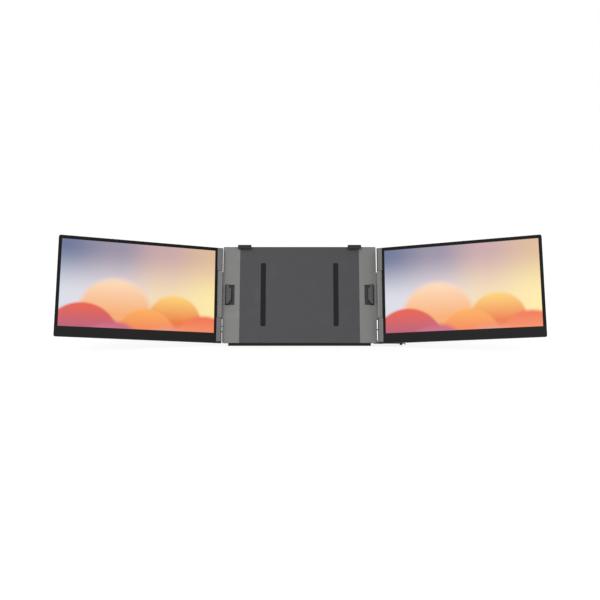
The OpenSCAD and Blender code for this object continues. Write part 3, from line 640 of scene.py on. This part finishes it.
def socket_form(z, grow, start, end):
    """The rounded slot shape of a socket, from start to end along X."""
    shape = block("socket", (start, PORT_Y - PORT_W / 2 - grow, z - PORT_L / 2 - grow),
                  (end, PORT_Y + PORT_W / 2 + grow, z + PORT_L / 2 + grow))
    return round_edges(shape, PORT_W / 2 + grow - NEAR, along(0), 8)


for word, z in PORT_PLACES.items():
    shell = socket_form(z, 0, WALL_IN - PORT_DEPTH, SIDE_X)
    shell.name = shell.data.name = word + "_socket_shell"
    carve(shell, socket_form(z, -PORT_WALL, WALL_IN - PORT_DEPTH + PORT_BACK, SIDE_X + THROUGH))
    soften(shell, 0.00008)
    put(shell, UPRIGHT, bright_steel, "bracket", "steel", "usb_ports")
    tongue = block(word + "_socket_tongue",
                   (WALL_IN - PORT_DEPTH + PORT_BACK, PORT_Y - PORT_TONGUE_HALF_T,
                    z - PORT_TONGUE_HALF_L),
                   (SIDE_X - PORT_TONGUE_IN, PORT_Y + PORT_TONGUE_HALF_T, z + PORT_TONGUE_HALF_L))
    soften(tongue, 0.00015)
    put(tongue, UPRIGHT, black_nylon, "bracket", "clip_plastic")


# ---- Push buttons ----
# Three short round studs of black plastic in the frames' outer walls, each with a collar
# inside that keeps it in, and a softly rounded end.
BUTTON_R, BUTTON_OUT = 0.0014, 0.0032
COLLAR_R, COLLAR_T = BUTTON_R + 0.0008, 0.0015
for name, side, z in (("power_button", "left", 0.0315), ("menu_button", "left", 0.0437),
                      ("input_button", "right", 0.036)):
    sign = SIDES[side]
    start, end = sign * (WALL_IN - COLLAR_T), sign * (SIDE_X + BUTTON_OUT)
    stud = rod(name + "_cap", (start, PLATE_T / 2, z), (end, PLATE_T / 2, z), BUTTON_R, 32)
    round_edges(stud, 0.0005, lambda a, b: max(abs(a.x - end), abs(b.x - end)) < NEAR, 4)
    join(stud, rod("collar", (start, PLATE_T / 2, z), (sign * (WALL_IN - SLACK), PLATE_T / 2, z),
                   COLLAR_R, 32))
    soften(stud, 0.0001)
    put(stud, UPRIGHT, black_nylon, name, "clip_plastic", name)


# ---- Housing screws ----
# Fourteen small cross-head screws of bright steel hold the front cover and the side frames from
# behind. One is modelled and copied.
SCREW_R, HEAD_R, HEAD_T = 0.0009, 0.0022, 0.001
CROSS_HALF_L, CROSS_HALF_W, CROSS_DEPTH = 0.0013, 0.00026, 0.0006
SIDE_CLIP_Z, SIDE_CLIP_H = 0.1177, 0.0468
FRAME_SPOT_X = SIDE_X - 0.03
FRAME_SPOTS = [(sign * FRAME_SPOT_X, z) for sign in (-1, 1) for z in (
    0.010, 0.066, SIDE_CLIP_Z + SIDE_CLIP_H / 2 + 0.021, PLATE_TOP - 0.018)]
HOUSING_TIP_Y = PANEL_T + 0.0012


def cross_screw(name, tip_y, face_y):
    """A pan-head screw along Y at x = z = 0, its head's face at face_y."""
    screw = rod(name, (0, tip_y, 0), (0, face_y - HEAD_T / 2, 0), SCREW_R, 20)
    head = rod("head", (0, face_y - HEAD_T, 0), (0, face_y, 0), HEAD_R, 32)
    round_edges(head, 0.0004, lambda a, b: min(a.y, b.y) > face_y - NEAR, 3)
    join(screw, head)
    for width, height in ((CROSS_HALF_L, CROSS_HALF_W), (CROSS_HALF_W, CROSS_HALF_L)):
        carve(screw, block("recess", (-width, face_y - CROSS_DEPTH, -height),
                           (width, face_y + CROSS_DEPTH, height)))
    return soften(screw, 0.00005, 1)


def screw_set(name, tip_y, face_y, spots):
    """A copy of one screw at each spot, as one piece."""
    first = cross_screw(name, tip_y, face_y)
    copies = []
    for x, z in spots:
        copy = bpy.data.objects.new("screw", first.data.copy())
        bpy.context.scene.collection.objects.link(copy)
        copy.data.transform(Matrix.Translation((x, 0, z)))
        copies.append(copy)
    bpy.data.objects.remove(first)
    pick(copies[0])
    for copy in copies:
        copy.select_set(True)
    bpy.ops.object.join()
    copies[0].name = copies[0].data.name = name
    return copies[0]


put(screw_set("housing_screw_set", HOUSING_TIP_Y, PLATE_T, COVER_SPOTS + FRAME_SPOTS),
    UPRIGHT, bright_steel, "bracket", "steel", "housing_screws")


# ---- Kickstand ----
# A pressed steel plate, powder coated black, that swings on a steel pin between the housing's
# lugs. A round hole takes a finger, and a black silicone edge grips the desk.
KICK_HALF_W, KICK_T, KICK_CORNER_R = 0.080, 0.002, 0.006
KICK_R, KICK_BARREL_HALF, KICK_BORE_R = 0.003, 0.048, 0.00148
KICK_PAD_R, KICK_PAD_UP = 0.0019, 0.0008
KICK_NECK = 0.004         # between the barrel and the panel's upper edge
FINGER_R, FINGER_UP = 0.009, 0.024
KICK_Z = 0.178            # the hinge's height, up the lean
KICK_L = KICK_Z - PLATE_Z0 - KICK_PAD_UP - KICK_PAD_R
KICK_PLATE_Y = KICK_PAD_R - KICK_R - KICK_T / 2
kick_open = -radians(joints["kickstand_hinge"]["range_deg"][0])
kick_place = (Matrix.Translation(joints["kickstand_hinge"]["pos_m"])
              @ Matrix.Rotation(kick_open - LEAN, 4, "X"))

powder_black = coating(
    "black_powder_coat", tone(40, 40, 42), tone(50, 50, 52), tone(140, 140, 142), (0.45, 0.62),
    patches=30, grain=1500, depth=0.00006, shine=0.35, wear=0.55)

stand = block("kickstand_panel", (-KICK_HALF_W, KICK_PLATE_Y, -KICK_L),
              (KICK_HALF_W, KICK_PLATE_Y + KICK_T, -KICK_R - KICK_NECK))
round_edges(stand, KICK_CORNER_R, along(1), 8)
join(stand,
     block("tongue", (-KICK_BARREL_HALF, KICK_PLATE_Y, -KICK_R - 2 * KICK_NECK),
           (KICK_BARREL_HALF, KICK_PLATE_Y + KICK_T, 0)),
     rod("barrel", (-KICK_BARREL_HALF, 0, 0), (KICK_BARREL_HALF, 0, 0), KICK_R))
carve(stand,
      rod("pin_bore", (-0.05, 0, 0), (0.05, 0, 0), KICK_BORE_R, 24),
      rod("finger_hole", (0, KICK_PLATE_Y - THROUGH, FINGER_UP - KICK_L),
          (0, KICK_PLATE_Y + KICK_T + THROUGH, FINGER_UP - KICK_L), FINGER_R, 64))
soften(stand, 0.0004, 3)
put(stand, kick_place, powder_black, "kickstand", "stand_steel", "kickstand_plate")
put(softened_copy("kickstand_grip_edge", "kickstand_rubber_edge", 0.00025), HERE, black_rubber,
    "kickstand", "rubber", "kickstand_rubber_edge")


# ---- Swing-out leg ----
# A flat bar of coated steel under the right monitor, which turns on a riveted pin in a bracket
# behind the lower right corner. A rubber foot is pressed onto its end, and a steel tab pulls it.
LEG_L, LEG_W, LEG_H, LEG_Z = 0.059, 0.0056, 0.0032, 0.003
LEG_HUB_R, LEG_END_R, LEG_PIN_R = 0.0048, LEG_W / 2 + 0.0008, 0.0015
pivot = Vector(joints["swing_leg_pivot"]["pos_m"])
leg_place = Matrix.Translation((pivot.x, pivot.y, 0))

leg = rod("leg_bar", (0, 0, LEG_Z), (0, 0, LEG_Z + LEG_H), LEG_HUB_R)
join(leg,
     block("bar", (0, -LEG_W / 2, LEG_Z), (LEG_L, LEG_W / 2, LEG_Z + LEG_H)),
     rod("end", (LEG_L, 0, LEG_Z), (LEG_L, 0, LEG_Z + LEG_H), LEG_END_R))
carve(leg, rod("pin_bore", (0, 0, 0), (0, 0, 0.01), LEG_PIN_R + BORE_SLACK, 24))
soften(leg, 0.0004, 3)
put(leg, leg_place, powder_black, "swing_leg", "stand_steel", "support_leg")

foot = rod("leg_rubber_foot", (LEG_L, 0, 0), (LEG_L, 0, LEG_Z), LEG_W / 2, 32, LEG_END_R)
soften(foot, 0.0003, 3)
put(foot, leg_place, black_rubber, "swing_leg", "rubber", "leg_foot")

tab_grey = coating(
    "tab_steel", tone(86, 86, 88), tone(100, 100, 102), tone(150, 150, 151), (0.35, 0.5),
    metal=0.85, grain=2600)
put(softened_copy("leg_pull_lip", "leg_pull_tab", 0.00025), HERE, tab_grey, "swing_leg",
    "steel", "leg_pull_tab")
put(softened_copy("leg_pivot_bracket", "leg_bracket", 0.0003), HERE, powder_black, "bracket",
    "stand_steel", "leg_bracket")
put(softened_copy("leg_pivot_rivet", "leg_pin", 0.00025, 3), HERE, bright_steel, "bracket",
    "steel", "leg_pin")


# ---- Monitor knuckles ----
# On each monitor two grey castings turn on the hinge pins. Each is a round-cornered bar with a
# cheek that closes the monitor's edge, and a leaf that is screwed to the inside of the shell.
TURN = radians(-joints["left_monitor_hinge"]["range_deg"][0])
EDGE_X = 0.0055           # from the hinge's axis to the monitor's edge
SHELL_WALL = 0.0016
SHELL_BACK_Y = HALF_T - SHELL_WALL
LEAF_T, LEAF_W = 0.0016, 0.026
LEAF_SHORTER = 0.003      # than the knuckle, at each end
KNUCKLE_IN, CHEEK_X, CHEEK_CORNER_R = 0.0064, 0.0071, 0.0014
UPPER_Z = MONITOR_H - UPPER_H
KNUCKLES = {"lower": (LOWER_Z, LOWER_H), "upper": (UPPER_Z, UPPER_H)}
monitor_place = {side: hinge_place(side) @ Matrix.Rotation(-sign * TURN, 4, "Z")
                 for side, sign in SIDES.items()}


def round_hinge_corners(piece, sign):
    """Rounds the upright edges round the hinge's axis, on the side away from the monitor."""
    return round_edges(piece, HINGE_CORNER_R,
                       lambda a, b: along(2)(a, b) and a.x * sign < -KNUCKLE_IN + NEAR, 8)


for side, sign in SIDES.items():
    for word, (z, height) in KNUCKLES.items():
        knuckle = block(side + "_" + word + "_knuckle_casting", *mirrored(
            sign, (-KNUCKLE_IN, -HALF_T, z), (CHEEK_X, HALF_T, z + height)))
        round_hinge_corners(knuckle, sign)
        round_edges(knuckle, CHEEK_CORNER_R,
                    lambda a, b: along(2)(a, b) and a.x * sign > CHEEK_X - NEAR and a.y < 0, 5)
        join(knuckle, block("leaf", *mirrored(
            sign, (0, SHELL_BACK_Y - LEAF_T, z + LEAF_SHORTER),
            (EDGE_X + SHELL_WALL + SLACK + LEAF_W, SHELL_BACK_Y, z + height - LEAF_SHORTER))))
        carve(knuckle, rod("pin_bore", (0, 0, z - SEAM), (0, 0, z + height + SEAM), BORE_R, 24))
        soften(knuckle, 0.0004, 3)
        put(knuckle, monitor_place[side], knuckle_grey_painted_shade, side + "_monitor", "hinge_metal",
            side + "_" + word + "_knuckle")


# ---- Rear shells ----
# Each monitor's back is a moulded tray of black plastic with a rounded rim, notched at one edge
# for the knuckles, with four screw recesses, six posts inside and a heel under the lower knuckle.
MONITOR_W = 0.3566
CORNER_R, RIM_R = 0.004, 0.0014
BEZEL_T = 0.0009
GLASS_Y = BEZEL_T - HALF_T
FAR_X = EDGE_X + MONITOR_W
CHIN_H, DISPLAY_W, DISPLAY_H, BEZEL_SIDE = 0.0228, 0.3426, 0.1929, 0.007
SCREW_HOLE_R, POST_R = 0.00105, 0.003
POST_TIP_Y = -0.0004
WALL_LAP = 0.002          # how far the wall beside the arm passes the knuckles' ends
LEAF_SCREW_X, LEAF_SCREW_UP = EDGE_X + LEAF_W - 0.006, 0.012
LEAF_SPOTS = [(LEAF_SCREW_X, z + up) for z, height in KNUCKLES.values()
              for up in (LEAF_SCREW_UP, height - LEAF_SCREW_UP)]
POST_SPOTS = [(EDGE_X + across * MONITOR_W, CHIN_H + up * DISPLAY_H)
              for across in (0.2, 0.5, 0.8) for up in (0.26, 0.72)]

shell_black = coating(
    "moulded_black", tone(34, 34, 36), tone(42, 42, 44), tone(78, 78, 80), (0.48, 0.64),
    grain=2200, depth=0.00005, shine=0.3, wear=0.4)


def notch(piece, sign):
    """Makes room in a monitor's edge for the knuckles' cheeks and the hinge arm."""
    return carve(piece, block("room", *mirrored(
        sign, (0, -0.01, -THROUGH), (CHEEK_X + SLACK, 0.01, MONITOR_H + THROUGH))))


for side, sign in SIDES.items():
    shell = block(side + "_back_tray", *mirrored(sign, (EDGE_X, GLASS_Y, 0),
                                                 (FAR_X, HALF_T, MONITOR_H)))
    round_edges(shell, CORNER_R, along(1), 8)
    round_edges(shell, RIM_R, lambda a, b: min(a.y, b.y) > HALF_T - NEAR, 5)
    hollow = block("hollow", *mirrored(
        sign, (EDGE_X + SHELL_WALL, GLASS_Y - THROUGH, SHELL_WALL),
        (FAR_X - SHELL_WALL, SHELL_BACK_Y, MONITOR_H - SHELL_WALL)))
    round_edges(hollow, CORNER_R - SHELL_WALL, along(1), 8)
    carve(shell, hollow)
    notch(shell, sign)
    for x, z in LEAF_SPOTS:
        carve(shell, rod("recess", (sign * x, HALF_T - HEAD_T - SLACK, z),
                         (sign * x, HALF_T + SLACK, z), HEAD_R + SLACK, 32),
              rod("hole", (sign * x, SHELL_BACK_Y - SLACK, z), (sign * x, HALF_T, z),
                  SCREW_HOLE_R, 24))
    for x, z in POST_SPOTS:
        join(shell, rod("post", (sign * x, POST_TIP_Y, z), (sign * x, SHELL_BACK_Y + SLACK, z),
                        POST_R, 24))
    join(shell, block("wall_beside_arm", *mirrored(
        sign, (CHEEK_X + SLACK, GLASS_Y, LOWER_Z + LOWER_H - WALL_LAP),
        (CHEEK_X + SLACK + SHELL_WALL, SHELL_BACK_Y + SLACK, UPPER_Z + WALL_LAP))))
    heel = block("heel", *mirrored(sign, (-KNUCKLE_IN, -HALF_T, 0),
                                   (CHEEK_X, HALF_T, LOWER_Z - SLACK)))
    round_hinge_corners(heel, sign)
    join(shell, heel, block("heel_root", *mirrored(
        sign, (0, GLASS_Y, 0), (CHEEK_X + SLACK + SHELL_WALL, HALF_T, LOWER_Z - SLACK))))
    soften(shell, 0.0001, 1, 50)
    put(shell, monitor_place[side], shell_black, side + "_monitor", "black_plastic",
        side + "_rear_shell")
    put(screw_set(side + "_leaf_screw_set", SHELL_BACK_Y - LEAF_T, HALF_T,
                  [(sign * x, z) for x, z in LEAF_SPOTS]),
        monitor_place[side], bright_steel, side + "_monitor", "steel", side + "_leaf_screws")


# ---- Front bezels ----
# A thin black plastic frame glued over the display's edge, with a deep border below. The border
# is a little paler than the narrow rim at the sides and top.
def bezel_black(side):
    """The bezel's black, paler below the window of the monitor that it is for."""
    made = coating(
        side + "_bezel_black", tone(10, 10, 12), tone(15, 15, 17), tone(34, 34, 36),
        (0.38, 0.5), grain=2600, shine=0.1, wear=0.05)
    tree = made.node_tree
    surface = tree.nodes["Principled BSDF"]
    before = surface.inputs["Base Color"].links[0].from_socket
    place = tree.nodes.new("ShaderNodeTexCoord")
    upright = tree.nodes.new("ShaderNodeMapping")
    upright.vector_type = "TEXTURE"
    upright.inputs["Location"].default_value = monitor_place[side].translation
    upright.inputs["Rotation"].default_value = monitor_place[side].to_euler()
    split = tree.nodes.new("ShaderNodeSeparateXYZ")
    below = tree.nodes.new("ShaderNodeMapRange")
    below.inputs["From Min"].default_value = CHIN_H - 0.0002
    below.inputs["From Max"].default_value = CHIN_H - 0.0006
    tree.links.new(place.outputs["Object"], upright.inputs["Vector"])
    tree.links.new(upright.outputs[0], split.inputs[0])
    tree.links.new(split.outputs["Z"], below.inputs["Value"])
    colour = blend_colours(tree, below.outputs[0], before, tone(28, 28, 29))
    tree.links.new(colour, surface.inputs["Base Color"])
    return made


for side, sign in SIDES.items():
    bezel = block(side + "_bezel_frame", *mirrored(sign, (EDGE_X, -HALF_T, 0),
                                                   (FAR_X, GLASS_Y, MONITOR_H)))
    round_edges(bezel, CORNER_R, along(1), 8)
    carve(bezel, block("window", *mirrored(
        sign, (EDGE_X + BEZEL_SIDE, -HALF_T - THROUGH, CHIN_H),
        (EDGE_X + BEZEL_SIDE + DISPLAY_W, GLASS_Y + THROUGH, CHIN_H + DISPLAY_H))))
    notch(bezel, sign)
    soften(bezel, 0.0002, 3)
    put(bezel, monitor_place[side], bezel_black(side), side + "_monitor", "bezel_plastic",
        side + "_front_bezel")


# ---- Displays ----
# A glass panel with its backlight sheet behind. It shows a plain generic picture: large soft
# discs over a sky that goes from slate blue to pale yellow.
def soft_disc():
    """A round patch on the picture: its mask, and how far up the disc a point is, 0 to 1."""
    if "soft_disc" in bpy.data.node_groups:
        return bpy.data.node_groups["soft_disc"]
    group, given, made = new_group(
        "soft_disc", {"Place": "Vector", "Centre": "Vector", "Radius": "Float", "Blur": "Float"},
        {"Mask": "Float", "Height": "Float"})
    away = group.nodes.new("ShaderNodeVectorMath")
    away.operation = "DISTANCE"
    inner = group.nodes.new("ShaderNodeMath")
    inner.operation = "SUBTRACT"
    mask = group.nodes.new("ShaderNodeMapRange")
    mask.interpolation_type = "SMOOTHSTEP"
    mask.inputs["To Min"].default_value = 1
    mask.inputs["To Max"].default_value = 0
    offset = group.nodes.new("ShaderNodeVectorMath")
    offset.operation = "SUBTRACT"
    split = group.nodes.new("ShaderNodeSeparateXYZ")
    share = group.nodes.new("ShaderNodeMath")
    share.operation = "DIVIDE"
    height = group.nodes.new("ShaderNodeMapRange")
    for source, target in (
            (given.outputs["Place"], away.inputs[0]), (given.outputs["Centre"], away.inputs[1]),
            (given.outputs["Radius"], inner.inputs[0]), (given.outputs["Blur"], inner.inputs[1]),
            (away.outputs["Value"], mask.inputs["Value"]),
            (inner.outputs[0], mask.inputs["From Min"]),
            (given.outputs["Radius"], mask.inputs["From Max"]),
            (given.outputs["Place"], offset.inputs[0]), (given.outputs["Centre"], offset.inputs[1]),
            (offset.outputs[0], split.inputs[0]), (split.outputs["Z"], share.inputs[0]),
            (given.outputs["Radius"], share.inputs[1]), (share.outputs[0], height.inputs["Value"]),
            (mask.outputs[0], made.inputs["Mask"]), (height.outputs[0], made.inputs["Height"])):
        group.links.new(source, target)
    return group


def colour_ramp(tree, factor, stops):
    """A colour that runs through the stops, each a place from 0 to 1 and a tone."""
    node = tree.nodes.new("ShaderNodeValToRGB")
    node.color_ramp.interpolation = "EASE"
    while len(node.color_ramp.elements) < len(stops):
        node.color_ramp.elements.new(0.5)
    for element, (position, colour) in zip(node.color_ramp.elements, stops):
        element.position = position
        element.color = colour
    tree.links.new(factor, node.inputs["Fac"])
    return node.outputs["Color"]


# each disc: its middle across and up, its radius and its blur, all in picture heights, and its
# lower and upper tone
DISCS = (
    ((0.62, 0.16), 0.46, 0.10, tone(244, 170, 110), tone(250, 222, 190)),
    ((1.30, 0.10), 0.34, 0.05, tone(232, 120, 60), tone(252, 214, 120)),
    ((0.98, -0.10), 0.36, 0.04, tone(236, 110, 84), tone(250, 176, 84)),
    ((0.26, -0.14), 0.44, 0.04, tone(150, 90, 130), tone(236, 92, 60)),
    ((1.66, -0.18), 0.40, 0.06, tone(240, 160, 110), tone(238, 104, 66)),
    ((0.60, -0.30), 0.42, 0.08, tone(170, 150, 170), tone(206, 84, 112)),
    ((1.22, -0.34), 0.44, 0.10, tone(206, 180, 186), tone(240, 140, 100)),
)


def picture(side, sign):
    """A lit picture on one display: the sky, and the discs over it from the back to the front."""
    made = bpy.data.materials.new(side + "_lit_picture")
    made.use_nodes = True
    tree = made.node_tree
    surface = tree.nodes["Principled BSDF"]
    surface.inputs["Base Color"].default_value = (0.004, 0.004, 0.005, 1)
    surface.inputs["Roughness"].default_value = 0.32
    surface.inputs["Specular IOR Level"].default_value = 0.2
    surface.inputs["Emission Strength"].default_value = 1
    left_edge = EDGE_X + BEZEL_SIDE if sign > 0 else -(EDGE_X + BEZEL_SIDE + DISPLAY_W)
    corner = monitor_place[side] @ Vector((left_edge, GLASS_Y, CHIN_H))
    place = tree.nodes.new("ShaderNodeTexCoord")
    flat = tree.nodes.new("ShaderNodeMapping")
    flat.vector_type = "TEXTURE"
    flat.inputs["Location"].default_value = corner
    flat.inputs["Rotation"].default_value = monitor_place[side].to_euler()
    flat.inputs["Scale"].default_value = (DISPLAY_H,) * 3
    split = tree.nodes.new("ShaderNodeSeparateXYZ")
    across = tree.nodes.new("ShaderNodeMapRange")
    across.inputs["From Max"].default_value = DISPLAY_W / DISPLAY_H
    tree.links.new(place.outputs["Object"], flat.inputs["Vector"])
    tree.links.new(flat.outputs[0], split.inputs[0])
    tree.links.new(split.outputs["X"], across.inputs["Value"])
    top = colour_ramp(tree, across.outputs[0], (
        (0, tone(104, 114, 148)), (0.35, tone(150, 142, 162)), (0.65, tone(198, 164, 166)),
        (1, tone(218, 182, 150))))
    low = colour_ramp(tree, across.outputs[0], (
        (0, tone(216, 218, 228)), (0.35, tone(228, 216, 220)), (0.65, tone(240, 216, 180)),
        (1, tone(250, 230, 165))))
    rise = tree.nodes.new("ShaderNodeMapRange")
    rise.interpolation_type = "SMOOTHSTEP"
    rise.inputs["From Min"].default_value = 0.35
    rise.inputs["From Max"].default_value = 0.95
    tree.links.new(split.outputs["Z"], rise.inputs["Value"])
    colour = blend_colours(tree, rise.outputs[0], low, top)
    for (x, z), radius, blur, lower, upper in DISCS:
        disc = tree.nodes.new("ShaderNodeGroup")
        disc.node_tree = soft_disc()
        disc.inputs["Centre"].default_value = (x, 0, z)
        disc.inputs["Radius"].default_value = radius
        disc.inputs["Blur"].default_value = blur
        tree.links.new(flat.outputs[0], disc.inputs["Place"])
        own = blend_colours(tree, disc.outputs["Height"], lower, upper)
        colour = blend_colours(tree, disc.outputs["Mask"], colour, own)
    tree.links.new(colour, surface.inputs["Emission Color"])
    return made


milky_sheet = coating(
    "milky_diffuser", tone(226, 228, 232), tone(238, 239, 242), tone(245, 245, 246), (0.5, 0.7),
    shine=0.3, wear=0.1)
for side, sign in SIDES.items():
    dress(picture(side, sign), side + "_display")
    dress(milky_sheet, side + "_backlight")


# ---- Top clips ----
# Black moulded hooks over the bracket's top edge, each pressed onto a steel slider that runs
# down into the bracket. A thin silicone pad lines the lip.
CLIP_ROOM, LIP_T, BRIDGE_T, TOP_LIP_H = 0.0064, 0.002, 0.0028, 0.0064
CLIP_FRONT = CLIP_ROOM + LIP_T
TOP_CLIP_X, TOP_CLIP_W = FRAME_X - 0.011, 0.032
RUNNING = 0.0003          # room round what slides
SLIDER_T, SLIDER_HALF_W = 0.0032, 0.011
SLIDER_Y = PANEL_T + RUNNING
BRIDGE_IN = 0.002         # the bridge is narrower than the lip by this at each end
HOOK_WALL = 0.001         # round the slider's end

for side, sign in SIDES.items():
    place = UPRIGHT @ Matrix.Translation((sign * TOP_CLIP_X, 0, PLATE_TOP + RUNNING))
    half = TOP_CLIP_W / 2
    hook = block(side + "_top_hook_moulding", (-half, -CLIP_FRONT, -TOP_LIP_H),
                 (half, -CLIP_ROOM, BRIDGE_T))
    round_edges(hook, 0.002, along(1), 6)
    join(hook, block("bridge", (BRIDGE_IN - half, -CLIP_ROOM - SLACK, 0),
                     (half - BRIDGE_IN, SLIDER_Y + SLIDER_T + HOOK_WALL, BRIDGE_T)))
    carve(hook, block("pocket", (-SLIDER_HALF_W - SLACK / 2, SLIDER_Y - SLACK / 2, -THROUGH),
                      (SLIDER_HALF_W + SLACK / 2, SLIDER_Y + SLIDER_T + SLACK / 2,
                       BRIDGE_T - HOOK_WALL + SLACK / 2)))
    soften(hook, 0.0005, 3)
    put(hook, place, black_nylon, side + "_top_clip", "clip_plastic", side + "_top_hook")
    put(softened_copy(side + "_top_slider_bar", side + "_top_slider", 0.0002), HERE,
        bright_steel, side + "_top_clip", "steel", side + "_top_slider")
    put(softened_copy(side + "_top_pad_strip", side + "_top_pad", 0.00015), HERE, black_rubber,
        side + "_top_clip", "rubber", side + "_top_pad")


# ---- Side clips ----
# A black moulded block slides in each frame's slot. The grey metal plate on its front ends in a
# short tongue towards the middle, and a flat slider behind the frame keeps the block in. The plate
# stops short of the block's lower, upper and outer edges, and the black left there is a painted
# shadow of the slot; the plate's grey, darker than the frames', is painted shade.
SIDE_CLIP_W = 0.0084
TONGUE_H, TONGUE_W, TONGUE_CORNER = 0.033, 0.0046, 0.0038
TONGUE_ROOT = 0.002
GRIP_X = SIDE_X - 0.007
GRIP_BEHIND = 0.0006      # the block's front lies this far behind the plate's
# how far the black block shows below, above and beside the plate: a painted shadow round the clip
CAP_T, CAP_SHADOW_BELOW, CAP_SHADOW_ABOVE, CAP_SHADOW_BESIDE = 0.001, 0.0019, 0.0009, 0.002

# painted shade: the frames' grey metal, painted darker where the clip lies in shade
plate_grey_painted_shade = coating(
    "clip_plate_painted_shade_grey", tone(66, 66, 67), tone(74, 74, 75), tone(120, 120, 120), (0.42, 0.56),
    metal=0.75, grain=4200)

for side, sign in SIDES.items():
    place = UPRIGHT @ Matrix.Translation((sign * GRIP_X, 0, SIDE_CLIP_Z))
    half_h = SIDE_CLIP_H / 2
    grip = block(side + "_side_hook_carrier", *mirrored(
        sign, (-SIDE_CLIP_W, GRIP_BEHIND - CLIP_FRONT, -half_h), (0, PANEL_T + SLACK, half_h)))
    round_edges(grip, 0.001, along(1), 4)
    soften(grip, 0.0003)
    put(grip, place, black_nylon, side + "_side_clip", "clip_plastic", side + "_side_hook")

    cap = block(side + "_side_hook_plate", *mirrored(
        sign, (-SIDE_CLIP_W, -CLIP_FRONT, CAP_SHADOW_BELOW - half_h),
        (-CAP_SHADOW_BESIDE, CAP_T - CLIP_FRONT, half_h - CAP_SHADOW_ABOVE)))
    round_edges(cap, 0.0008, along(1), 4)
    tongue = block("tongue", *mirrored(
        sign, (-SIDE_CLIP_W - TONGUE_W, -CLIP_FRONT, -TONGUE_H / 2),
        (-SIDE_CLIP_W + TONGUE_ROOT, -CLIP_ROOM, TONGUE_H / 2)))
    tip = sign * (-SIDE_CLIP_W - TONGUE_W)
    round_edges(tongue, TONGUE_CORNER, lambda a, b: along(1)(a, b) and abs(a.x - tip) < NEAR, 1)
    join(cap, tongue)
    soften(cap, 0.0004, 3)
    put(cap, place, plate_grey_painted_shade, side + "_side_clip", "grey_metal")
    put(softened_copy(side + "_side_slider_bar", side + "_side_slider", 0.0002), HERE,
        powder_black, side + "_side_clip", "steel", side + "_side_slider")
    put(softened_copy(side + "_side_pad_strip", side + "_side_pad", 0.00015), HERE,
        black_rubber, side + "_side_clip", "rubber", side + "_side_pad")
